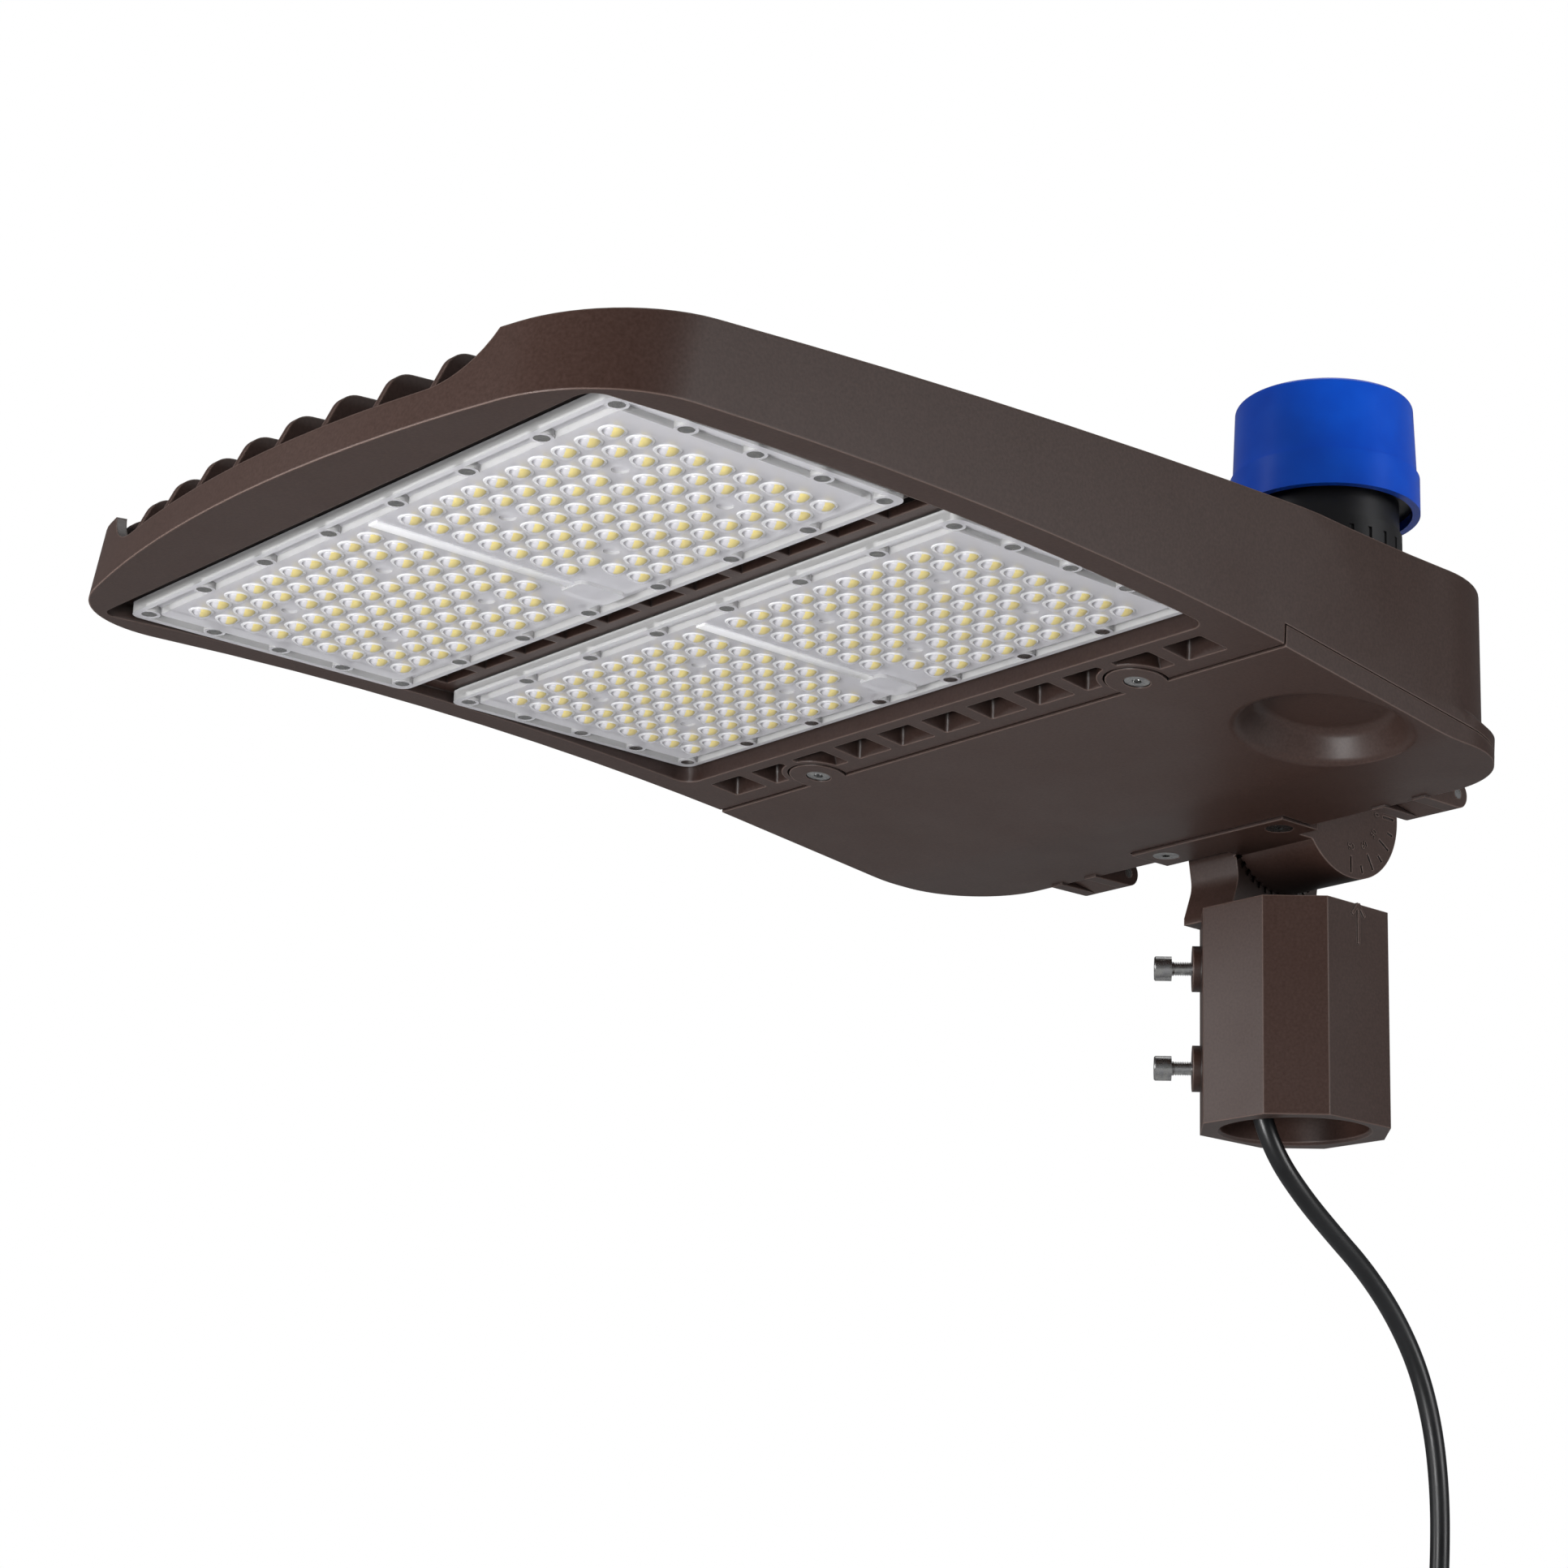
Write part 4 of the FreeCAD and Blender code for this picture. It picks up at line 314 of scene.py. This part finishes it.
def silicone(name):
    return moulding(name, finishes().seal, hex_colour("#8f8f8e"), 0.5, 0.62, 0.7 * MM)


def seal_rubber(name, code="#17181a"):
    return moulding(name, hex_colour(code), hex_colour("#222326"), 0.5, 0.65, 0.6 * MM)


def clear_polycarbonate():
    """Polycarbonate, injection moulded: clear over the lights and a little milky elsewhere.

    Its upright walls pipe light along themselves; that light is painted on them as a whiter colour."""
    material, tree, surface = new_material("clear polycarbonate")
    coordinates = add_node(tree, "ShaderNodeTexCoord")
    place = add_node(tree, "ShaderNodeSeparateXYZ", {0: coordinates.outputs["Object"]})
    facing = add_node(tree, "ShaderNodeSeparateXYZ", {0: coordinates.outputs["Normal"]})
    flat = math_node(tree, "ABSOLUTE", facing.outputs["Z"])
    below = math_node(tree, "LESS_THAN", place.outputs["Z"], (PANEL_Z - 0.05) * MM)
    across = math_node(tree, "ABSOLUTE", place.outputs["X"])
    beside = math_node(tree, "GREATER_THAN", across, (COVER_HALF + 0.2) * MM)
    lens = math_node(tree, "MULTIPLY", below, beside)
    haze = noise(tree, coordinates.outputs["Object"], 9 * MM)
    cloudy = add_node(tree, "ShaderNodeMapRange", {"To Min": 0.38, "To Max": 0.62, "Value": flat})
    veil = add_node(tree, "ShaderNodeMix", {0: lens, 2: cloudy.outputs["Result"], 3: 0.2})
    shader = add_node(tree, "ShaderNodeBsdfPrincipled", {
        "IOR": 1.585,
        # Painted light: upright walls take pure white, flat faces a faint violet white.
        "Base Color": blend(tree, flat, hex_colour("#ffffff"), hex_colour("#f2f1f7")),
        "Roughness": spread(tree, haze, 0.06, 0.14),
        "Alpha": veil.outputs[0],
    })
    tree.links.new(shader.outputs["BSDF"], surface)
    return material


def rim_highlight_polycarbonate():
    """The same polycarbonate at the lens rims, drawn milky white and lit through as a painted highlight
    of the light they catch.
    """
    material, tree, surface = new_material("polycarbonate with painted rim highlight")
    etch = noise(tree, object_place(tree), 0.8 * MM)
    shader = add_node(tree, "ShaderNodeBsdfPrincipled", {
        "Base Color": colour_of(hex_colour("#f3f3f6")), "IOR": 1.585, "Subsurface Weight": 0.4,
        "Subsurface Scale": 2 * MM, "Subsurface Radius": (1.0, 1.0, 1.0),
        "Roughness": spread(tree, etch, 0.22, 0.4), "Normal": relief(tree, etch, 0.05 * MM, 0.4),
    })
    tree.links.new(shader.outputs["BSDF"], surface)
    return material


def light_board():
    """Fibreglass board under white solder mask: bright, slightly glossy, with faint traces."""
    material, tree, surface = new_material("white solder mask")
    place = object_place(tree)
    traces = add_node(tree, "ShaderNodeTexBrick", {
        "Scale": 1.0, "Brick Width": 12.1 * MM, "Row Height": 10.9 * MM, "Mortar Size": 0.45 * MM,
        "Mortar Smooth": 0.4, "Vector": place,
    }).outputs["Fac"]
    shader = add_node(tree, "ShaderNodeBsdfPrincipled", {
        "Roughness": 0.35,
        "Base Color": blend(tree, traces, finishes().board, hex_colour("#dfdde0")),
        "Normal": relief(tree, traces, 0.04 * MM, 0.5),
    })
    tree.links.new(shader.outputs["BSDF"], surface)
    return material


def lens_hollow():
    """Inner face of a polycarbonate lens, where light is turned aside by full reflection.

    It looks silvery, and its colour is painted dark on one side, as a painted reflection of the head's
    shade."""
    material, tree, surface = new_material("inner face of the lenses")
    coordinates = add_node(tree, "ShaderNodeTexCoord")
    ripple = noise(tree, coordinates.outputs["Object"], 2.2 * MM)
    # Painted reflection: the face is coloured dark where it turns towards this side, and pale elsewhere.
    painted_shade_side = (-0.66, -0.7, 0.28)
    side = add_node(tree, "ShaderNodeVectorMath", {
        "operation": "DOT_PRODUCT", 0: coordinates.outputs["Normal"], 1: painted_shade_side,
    }).outputs["Value"]
    settings = {"From Min": 0.15, "From Max": 0.45, "Value": side}
    shade = add_node(tree, "ShaderNodeMapRange", settings).outputs["Result"]
    shader = add_node(tree, "ShaderNodeBsdfPrincipled", {
        "Metallic": 0.6, "IOR": 1.585,
        "Base Color": blend(tree, shade, hex_colour("#f0eff5"), hex_colour("#4e4c57")),
        "Roughness": spread(tree, ripple, 0.12, 0.2),
    })
    tree.links.new(shader.outputs["BSDF"], surface)
    return material


def bare_ends():
    """Insulated copper conductors, stripped at their ends: satin sheath, then bright copper."""
    material, tree, surface = new_material("insulated conductors with bare ends")
    place = object_place(tree)
    height = add_node(tree, "ShaderNodeSeparateXYZ", {0: place}).outputs["Z"]
    bare = math_node(tree, "LESS_THAN", height, STRIPPED_BELOW * MM)
    strands = noise(tree, place, 0.4 * MM)
    shader = add_node(tree, "ShaderNodeBsdfPrincipled", {
        "Roughness": 0.35,
        "Base Color": blend(tree, bare, finishes().jacket, finishes().copper),
        "Metallic": bare,
        "Normal": relief(tree, strands, 0.1 * MM, 0.5),
    })
    tree.links.new(shader.outputs["BSDF"], surface)
    return material


# ---- pieces ----
def finish_piece(obj, body, material):
    """Gives a piece its material and its body."""
    obj.data.materials.clear()
    obj.data.materials.append(material)
    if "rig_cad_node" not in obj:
        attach(obj, body)
    return obj


def mesh_piece(name, mesh_builder):
    """New mesh object from a bmesh that mesh_builder fills."""
    bm = bmesh.new()
    mesh_builder(bm)
    data = bpy.data.meshes.new(name)
    bm.to_mesh(data)
    bm.free()
    obj = bpy.data.objects.new(name, data)
    bpy.context.scene.collection.objects.link(obj)
    return obj


def smooth_by_angle(bm, degrees):
    """Smooth faces, with the edges sharper than the angle kept sharp."""
    limit = math.radians(degrees)
    for face in bm.faces:
        face.smooth = True
    for edge in bm.edges:
        edge.smooth = len(edge.link_faces) == 2 and edge.calc_face_angle(0.0) < limit


def smooth_copy(node, name, degrees, change=None):
    """The node's own shape, merged, changed if asked, and shaded smooth, in its place."""
    def build(bm):
        bm.from_mesh(NODES[node].data)
        bmesh.ops.remove_doubles(bm, verts=bm.verts[:], dist=0.002 * MM)
        if change:
            change(bm)
        smooth_by_angle(bm, degrees)

    obj = mesh_piece(name, build)
    weigh = obj.modifiers.new("even normals", "WEIGHTED_NORMAL")
    weigh.keep_sharp = True
    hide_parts(node)
    return obj


def dress(node, name, body, material, degrees=30.0):
    return finish_piece(smooth_copy(node, name, degrees), body, material)


def plain(node, body, material):
    return finish_piece(NODES[node], body, material)


class AREALIGHT_OT_camera(bpy.types.Operator):
    """Place the camera where the photograph was taken from"""

    bl_idname = "arealight.camera"
    bl_label = "Camera"

    def execute(self, context):
        data = bpy.data.cameras.new("camera")
        data.sensor_width = 36.0
        data.lens = 75.17
        data.shift_x = -0.0818
        data.shift_y = 0.0611
        data.clip_start = 0.05
        camera = bpy.data.objects.new("camera", data)
        context.scene.collection.objects.link(camera)
        right = Vector((0.6807, 0.7323, 0.0222)).normalized()
        back = Vector((0.7119, -0.6539, -0.2562)).normalized()
        up = back.cross(right).normalized()
        turn = Matrix((right, up, back)).transposed().to_4x4()
        camera.matrix_world = Matrix.Translation(CAMERA_PLACE) @ turn
        context.scene.camera = camera
        return {"FINISHED"}


class AREALIGHT_OT_supply_lead(bpy.types.Operator):
    """Lay the supply lead down through the fitter, with its stripped end"""

    bl_idname = "arealight.supply_lead"
    bl_label = "Supply lead"

    def execute(self, context):
        curve = bpy.data.curves.new("supply_lead_cord", "CURVE")
        curve.dimensions = "3D"
        spline = curve.splines.new("NURBS")
        spline.points.add(len(LEAD_ROUTE) - 1)
        for point, place in zip(spline.points, LEAD_ROUTE):
            point.co = (*(Vector(place) * MM), 1.0)
        spline.order_u = 3
        spline.use_endpoint_u = True
        spline.resolution_u = 12
        curve.bevel_depth = LEAD_RADIUS * MM
        curve.bevel_resolution = 8
        curve.use_fill_caps = True
        lead = bpy.data.objects.new("supply_lead_cord", curve)
        context.scene.collection.objects.link(lead)
        jacket = moulding("rubber-like lead jacket", finishes().jacket, hex_colour("#131417"),
                          0.3, 0.42, 0.5 * MM)
        finish_piece(lead, "fitter", jacket)
        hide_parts("supply_lead")
        ends = plain("lead_conductors", "fitter", bare_ends())
        rubber = seal_rubber("black rubber grommet", "#18191b")
        dress("cord_grommet", "lead_grommet", "fitter", rubber)
        return {"FINISHED"}


class AREALIGHT_OT_castings(bpy.types.Operator):
    """Paint the head, the driver door, the tilt bracket and the slip fitter"""

    bl_idname = "arealight.castings"
    bl_label = "Castings"

    def execute(self, context):
        paint = powder_coat()
        castings = (
            ("housing", "head_casting", "head"), ("driver_door", "driver_door_casting", "door"),
            ("tilt_bracket", "tilt_bracket_casting", "head"),
            ("slip_fitter", "slip_fitter_casting", "fitter"),
        )
        for node, name, body in castings:
            dress(node, name, body, paint, 24.0)
        return {"FINISHED"}


class AREALIGHT_OT_lens_plates(bpy.types.Operator):
    """Clear lens plates and their seals"""

    bl_idname = "arealight.lens_plates"
    bl_label = "Lens plates"

    def execute(self, context):
        clear = clear_polycarbonate()
        grey = silicone("grey silicone")
        for where in ("front", "rear"):
            dress(f"lens_plate_{where}", f"{where}_lens_plate", "head", clear, 35.0)
            plain(f"lens_gasket_{where}", "head", grey)
        return {"FINISHED"}


def light_places():
    """Centre of every light; the board screws and the plugs take the other cells."""
    places = []
    for plate_y in PLATE_Y:
        for column in range(1, COLUMNS + 1):
            for row in range(ROWS):
                screw = column in SCREW_COLUMNS and row in SCREW_ROWS
                plug = column == PLUG_COLUMN and row in PLUG_ROWS
                if not screw and not plug:
                    y = plate_y + PITCH[1] * (row - (ROWS - 1) / 2)
                    places += [(side * PITCH[0] * column, y) for side in (-1, 1)]
    return places


def half_sizes(*values):
    return Matrix.Diagonal((*[value * MM for value in values], 1.0))


def at(x, y, z):
    return Matrix.Translation(Vector((x, y, z)) * MM)


def at_every_light(bm, single):
    """Fills bm with the shape that single makes round the origin, once at every light."""
    pattern = bmesh.new()
    single(pattern)
    data = bpy.data.meshes.new("one_cell")
    pattern.to_mesh(data)
    pattern.free()
    last = Vector((0.0, 0.0))
    for place in light_places():
        step = Vector(place) - last
        data.transform(at(step.x, step.y, 0.0))
        bm.from_mesh(data)
        last = Vector(place)
    bpy.data.meshes.remove(data)


def lens_rim(bm):
    """Fillet where a lens meets the panel, drawn white as a painted highlight."""
    wide, narrow = ((LENS_R - inset) * MM for inset in RIM_IN)
    place = at(0, 0, PANEL_Z - RIM_DEPTH / 2) @ Matrix.Rotation(math.pi, 4, "X")
    bmesh.ops.create_cone(bm, cap_ends=True, segments=24, radius1=wide, radius2=narrow,
                          depth=RIM_DEPTH * MM, matrix=place)


def lens_inner_face(bm):
    bmesh.ops.create_uvsphere(bm, u_segments=16, v_segments=8, radius=1.0,
                              matrix=at(0, 0, DOME_BASE_Z) @ half_sizes(*HOLLOW_HALF))


def phosphor_image(bm):
    """The light's yellow face as its lens shows it: larger, and thrown to one side."""
    bmesh.ops.create_uvsphere(bm, u_segments=16, v_segments=8, radius=1.0,
                              matrix=at(*IMAGE_SHIFT, DOME_BASE_Z) @ half_sizes(*IMAGE_HALF))


def smooth_piece(name, builder):
    """New piece that builder fills, its faces turned outwards and shaded smooth."""
    def build(bm):
        builder(bm)
        bmesh.ops.recalc_face_normals(bm, faces=bm.faces[:])
        smooth_by_angle(bm, 40.0)

    return mesh_piece(name, build)


class AREALIGHT_OT_lenses(bpy.types.Operator):
    """Rim, silvery inner face and yellow light of each lens, and each plate's white rib"""

    bl_idname = "arealight.lenses"
    bl_label = "Lenses"

    def execute(self, context):
        rim_highlight = rim_highlight_polycarbonate()
        yellow = moulding("phosphor seen in its lens", finishes().phosphor, hex_colour("#cbb545"),
                          0.18, 0.3, 0.8 * MM)
        cells = (
            # The rims are drawn white: a painted highlight.
            ("lens_rims", lens_rim, "clear_polycarbonate", rim_highlight),
            ("lens_hollows", lens_inner_face, "clear_polycarbonate", lens_hollow()),
            ("phosphor_images", phosphor_image, "led_phosphor", yellow),
        )
        for name, single, slot, material in cells:
            obj = smooth_piece(name, lambda bm: at_every_light(bm, single))
            finish_piece(obj, "head", material)

        def ribs(bm):
            for plate_y in PLATE_Y:
                front = plate_y - TRAY_HALF_Y
                rear = plate_y + PITCH[1] * (ROWS - 1) / 2 - RIB_SHORT
                middle = at(0, (front + rear) / 2, RIB_Z)
                size = Matrix.Diagonal((sizes().rib_width, (rear - front) * MM, RIB_DEPTH * MM, 1.0))
                bmesh.ops.create_cube(bm, size=1.0, matrix=middle @ size)
            bmesh.ops.bevel(bm, geom=bm.edges[:], offset=RIB_EDGE * MM, segments=2, profile=0.5,
                            affect="EDGES", material=-1)

        milky = moulding("milky polycarbonate rib", hex_colour("#ffffff"), hex_colour("#f4f4f9"),
                         0.25, 0.35, 0.8 * MM)
        finish_piece(smooth_piece("centre_ribs", ribs), "head", milky)
        return {"FINISHED"}


def cut_thread(bm, height):
    """Cuts a thread's rings into the shank of a set screw, from its tip to its head."""
    pitch = sizes().thread_pitch
    start = SHANK_TIP * MM + pitch / 2
    rings = []
    for step in range(int((SHANK_HEAD * MM - start) / pitch * 2)):
        centre = BORE_OUT * (start + step * pitch / 2) + Vector((0, 0, height * MM))
        whole = bm.verts[:] + bm.edges[:] + bm.faces[:]
        cut = bmesh.ops.bisect_plane(bm, geom=whole, dist=0.0001 * MM, plane_co=centre,
                                     plane_no=BORE_OUT)
        ring = {item for item in cut["geom_cut"] if isinstance(item, bmesh.types.BMVert)}
        rings.append((centre, ring))
    for centre, ring in rings[1::2]:
        for vert in ring:
            vert.co = centre + (vert.co - centre) * THREAD_ROOT


class AREALIGHT_OT_dial_numbers(bpy.types.Operator):
    """Degrees cast beside the long marks of the tilt dial"""

    bl_idname = "arealight.dial_numbers"
    bl_label = "Dial numbers"

    def execute(self, context):
        towards_x = Matrix(((0, 0, 1, 0), (1, 0, 0, 0), (0, 1, 0, 0), (0, 0, 0, 1)))
        paint = powder_coat()
        for turn in (0, 30, 60, 90):
            text = str(90 - turn)
            curve = bpy.data.curves.new(f"text_{text}", "FONT")
            curve.body = text
            curve.size = sizes().number_height
            curve.extrude = NUMBER_DEPTH * MM
            curve.align_x = "CENTER"
            curve.align_y = "CENTER"
            lettering = bpy.data.objects.new(f"text_{text}", curve)
            context.scene.collection.objects.link(lettering)
            context.view_layer.update()
            data = bpy.data.meshes.new_from_object(lettering)
            bpy.data.objects.remove(lettering)
            angle = math.radians(turn)
            spot = at(DIAL_X, NUMBER_RING * math.sin(angle), DIAL_Z - NUMBER_RING * math.cos(angle))
            data.transform(spot @ towards_x @ Matrix.Rotation(angle, 4, "Z"))
            number = bpy.data.objects.new(f"dial_number_{text}", data)
            context.scene.collection.objects.link(number)
            finish_piece(number, "head", paint)
        return {"FINISHED"}


class AREALIGHT_OT_light_boards(bpy.types.Operator):
    """White boards with their lights and plugs"""

    bl_idname = "arealight.light_boards"
    bl_label = "Light boards"

    def execute(self, context):
        mask = light_board()
        for where in ("front_left", "front_right", "rear_left", "rear_right"):
            plain(f"led_board_{where}", "head", mask)
        phosphor = moulding("yellow phosphor", finishes().phosphor, hex_colour("#efd774"),
                            0.4, 0.6, 0.4 * MM)
        plain("led_packages", "head", phosphor)
        nylon = moulding("white nylon", hex_colour("#ececea"), hex_colour("#e0e0de"),
                         0.3, 0.45, 0.5 * MM)
        plain("board_plugs", "head", nylon)
        return {"FINISHED"}


class AREALIGHT_OT_fasteners(bpy.types.Operator):
    """Stainless screws, pins, bolt, washer and nut"""

    bl_idname = "arealight.fasteners"
    bl_label = "Fasteners"

    def execute(self, context):
        steel = machined_steel()
        parts = {
            "pivot_bolt": "fitter", "pivot_washer": "fitter", "pivot_nut": "head",
            "bracket_screws": "head", "lens_screws": "head", "board_screws": "head",
            "hinge_pins": "head", "driver_screws": "door",
            "door_screw_left": "door_screw_left", "door_screw_right": "door_screw_right",
        }
        for node, body in parts.items():
            dress(node, node + "_steel", body, steel)
        for where, height in SET_SCREW_Z.items():
            node = f"set_screw_{where}"
            screw = smooth_copy(node, node + "_steel", 20.0, lambda bm: cut_thread(bm, height))
            finish_piece(screw, node, steel)
        return {"FINISHED"}


class AREALIGHT_OT_photocontrol(bpy.types.Operator):
    """Receptacle on the head and the blue photocontrol that plugs into it"""

    bl_idname = "arealight.photocontrol"
    bl_label = "Photocontrol"

    def execute(self, context):
        black = moulding("black moulded plastic", finishes().black, hex_colour("#1d1d20"),
                         0.32, 0.46, 0.6 * MM)
        blue = moulding("blue moulded plastic", finishes().cap, hex_colour("#005ce8"),
                        0.2, 0.27, 1.4 * MM, 0.01 * MM, 0.12)
        dress("photocontrol_socket", "photocontrol_receptacle", "head", black)
        dress("socket_locknut", "receptacle_locknut", "head", black)
        dress("photocontrol_base", "photocontrol_base_moulding", "photocontrol", black)
        dress("photocontrol_cap", "photocontrol_cap_moulding", "photocontrol", blue)
        rubber = seal_rubber("black rubber seal")
        dress("socket_gasket", "receptacle_gasket", "head", rubber)
        dress("photocontrol_seal", "photocontrol_ring_seal", "photocontrol", rubber)
        tinned = machined_steel("tinned brass, pressed")
        dress("photocontrol_blades", "photocontrol_brass_blades", "photocontrol", tinned)
        card = moulding("green laminate", hex_colour("#1f6b3a"), hex_colour("#185a30"),
                        0.3, 0.5, 0.8 * MM)
        plain("photocontrol_board", "photocontrol", card)
        return {"FINISHED"}


class AREALIGHT_OT_driver_gear(bpy.types.Operator):
    """Driver, surge protector, terminal block, wires and seals inside the head"""

    bl_idname = "arealight.driver_gear"
    bl_label = "Driver gear"

    def execute(self, context):
        case = moulding("satin aluminium case", finishes().driver, hex_colour("#b3b6b9"),
                        0.35, 0.5, 0.6 * MM)
        black = moulding("black potted case", hex_colour("#161618"), hex_colour("#202124"),
                         0.4, 0.55, 0.7 * MM)
        nylon = moulding("white terminal nylon", hex_colour("#e9e9e6"), hex_colour("#dcdcd9"),
                         0.35, 0.5, 0.6 * MM)
        sheath = moulding("wire insulation", hex_colour("#1d1d1f"), hex_colour("#28282b"),
                          0.35, 0.5, 0.4 * MM)
        dress("led_driver", "driver_case", "door", case)
        dress("surge_protector", "surge_protector_case", "head", black)
        dress("terminal_block", "terminal_block_body", "head", nylon)
        dress("supply_wires", "supply_wires_in_the_head", "head", sheath)
        dress("door_seal", "door_seal_ring", "head", silicone("door seal silicone"))
        plain("bracket_gasket", "head", seal_rubber("bracket gasket rubber"))
        return {"FINISHED"}


class AREALIGHT_OT_stage(bpy.types.Operator):
    """Pale floor, soft lamps and a white surround"""

    bl_idname = "arealight.stage"
    bl_label = "Stage"

    def execute(self, context):
        scene = context.scene
        scene.view_settings.view_transform = "Standard"
        floor = mesh_piece("floor", lambda bm: bmesh.ops.create_grid(
            bm, size=6.0, matrix=Matrix.Translation(FLOOR_PLACE)))
        floor.data.materials.append(floor_material())
        lamps = (
            ("key lamp", (-1.2, -2.2, 0.4), 1.0, 17.0, 180.0),
            ("side lamp", (2.2, 0.7, 0.2), 1.0, 19.0, 180.0),
            ("low lamp", (0.3, -1.5, -0.4), 0.5, 4.6, 75.0),
            ("top lamp", (0.0, 0.3, 2.2), 2.0, 14.0, 180.0),
        )
        for name, place, size, power, spread_angle in lamps:
            data = bpy.data.lights.new(name, "AREA")
            data.shape = "DISK"
            data.size = size
            data.energy = power
            data.spread = math.radians(spread_angle)
            lamp = bpy.data.objects.new(name, data)
            scene.collection.objects.link(lamp)
            lamp.location = place
            lamp.rotation_euler = (LAMP_AIM - Vector(place)).to_track_quat("-Z", "Y").to_euler()
        scene.world = white_surround()
        return {"FINISHED"}


def floor_material():
    """Matt white floor that hides nothing from below."""
    material, tree, surface = new_material("pale floor")
    grain = noise(tree, object_place(tree), 0.4)
    seen = add_node(tree, "ShaderNodeLightPath").outputs["Is Camera Ray"]
    white = add_node(tree, "ShaderNodeBsdfPrincipled", {
        "Roughness": 0.8, "Specular IOR Level": 0.2, "Emission Color": (1.0, 1.0, 1.0, 1.0),
        "Base Color": blend(tree, grain, hex_colour("#f1f1f1"), hex_colour("#eeeeef")),
        "Emission Strength": math_node(tree, "MULTIPLY", seen, 0.62),
    })
    through = add_node(tree, "ShaderNodeBsdfTransparent")
    side = add_node(tree, "ShaderNodeNewGeometry").outputs["Backfacing"]
    mixed = add_node(tree, "ShaderNodeMixShader", {
        0: side, 1: white.outputs["BSDF"], 2: through.outputs["BSDF"],
    })
    tree.links.new(mixed.outputs["Shader"], surface)
    return material


def white_surround():
    """World that is white to the eye, straight or through clear pieces, and dimmer as a light."""
    world = bpy.data.worlds.new("white surround")
    world.use_nodes = True
    tree = world.node_tree
    tree.nodes.clear()
    path = add_node(tree, "ShaderNodeLightPath")
    seen = math_node(tree, "MAXIMUM", path.outputs["Is Camera Ray"], path.outputs["Is Transmission Ray"])
    strength = add_node(tree, "ShaderNodeMapRange", {"To Min": 0.15, "Value": seen})
    sky = add_node(tree, "ShaderNodeBackground", {
        "Color": (1.0, 1.0, 1.0, 1.0), "Strength": strength.outputs["Result"],
    })
    output = add_node(tree, "ShaderNodeOutputWorld")
    tree.links.new(sky.outputs["Background"], output.inputs["Surface"])
    return world


OPERATORS = (
    AREALIGHT_OT_camera,
    AREALIGHT_OT_supply_lead,
    AREALIGHT_OT_castings,
    AREALIGHT_OT_dial_numbers,
    AREALIGHT_OT_lens_plates,
    AREALIGHT_OT_lenses,
    AREALIGHT_OT_light_boards,
    AREALIGHT_OT_fasteners,
    AREALIGHT_OT_photocontrol,
    AREALIGHT_OT_driver_gear,
    AREALIGHT_OT_stage,
)


class AREALIGHT_PT_panel(bpy.types.Panel):
    """Area light pieces and finishes"""

    bl_idname = "AREALIGHT_PT_panel"
    bl_label = "Area light"
    bl_space_type = "VIEW_3D"
    bl_region_type = "UI"
    bl_category = "Area light"

    def draw(self, context):
        for group in (context.scene.area_light_finishes, context.scene.area_light_sizes):
            for name in group.bl_rna.properties.keys():
                if name not in ("rna_type", "name"):
                    self.layout.prop(group, name)
        for operator in OPERATORS:
            self.layout.operator(operator.bl_idname)


CLASSES = (AreaLightFinishes, AreaLightSizes, *OPERATORS, AREALIGHT_PT_panel)


def register():
    for cls in CLASSES:
        bpy.utils.register_class(cls)
    bpy.types.Scene.area_light_finishes = bpy.props.PointerProperty(type=AreaLightFinishes)
    bpy.types.Scene.area_light_sizes = bpy.props.PointerProperty(type=AreaLightSizes)


def unregister():
    del bpy.types.Scene.area_light_sizes
    del bpy.types.Scene.area_light_finishes
    for cls in reversed(CLASSES):
        bpy.utils.unregister_class(cls)


def main():
    register()
    for operator in OPERATORS:
        group, name = operator.bl_idname.split(".")
        getattr(getattr(bpy.ops, group), name)()


if __name__ == "__main__":
    main()
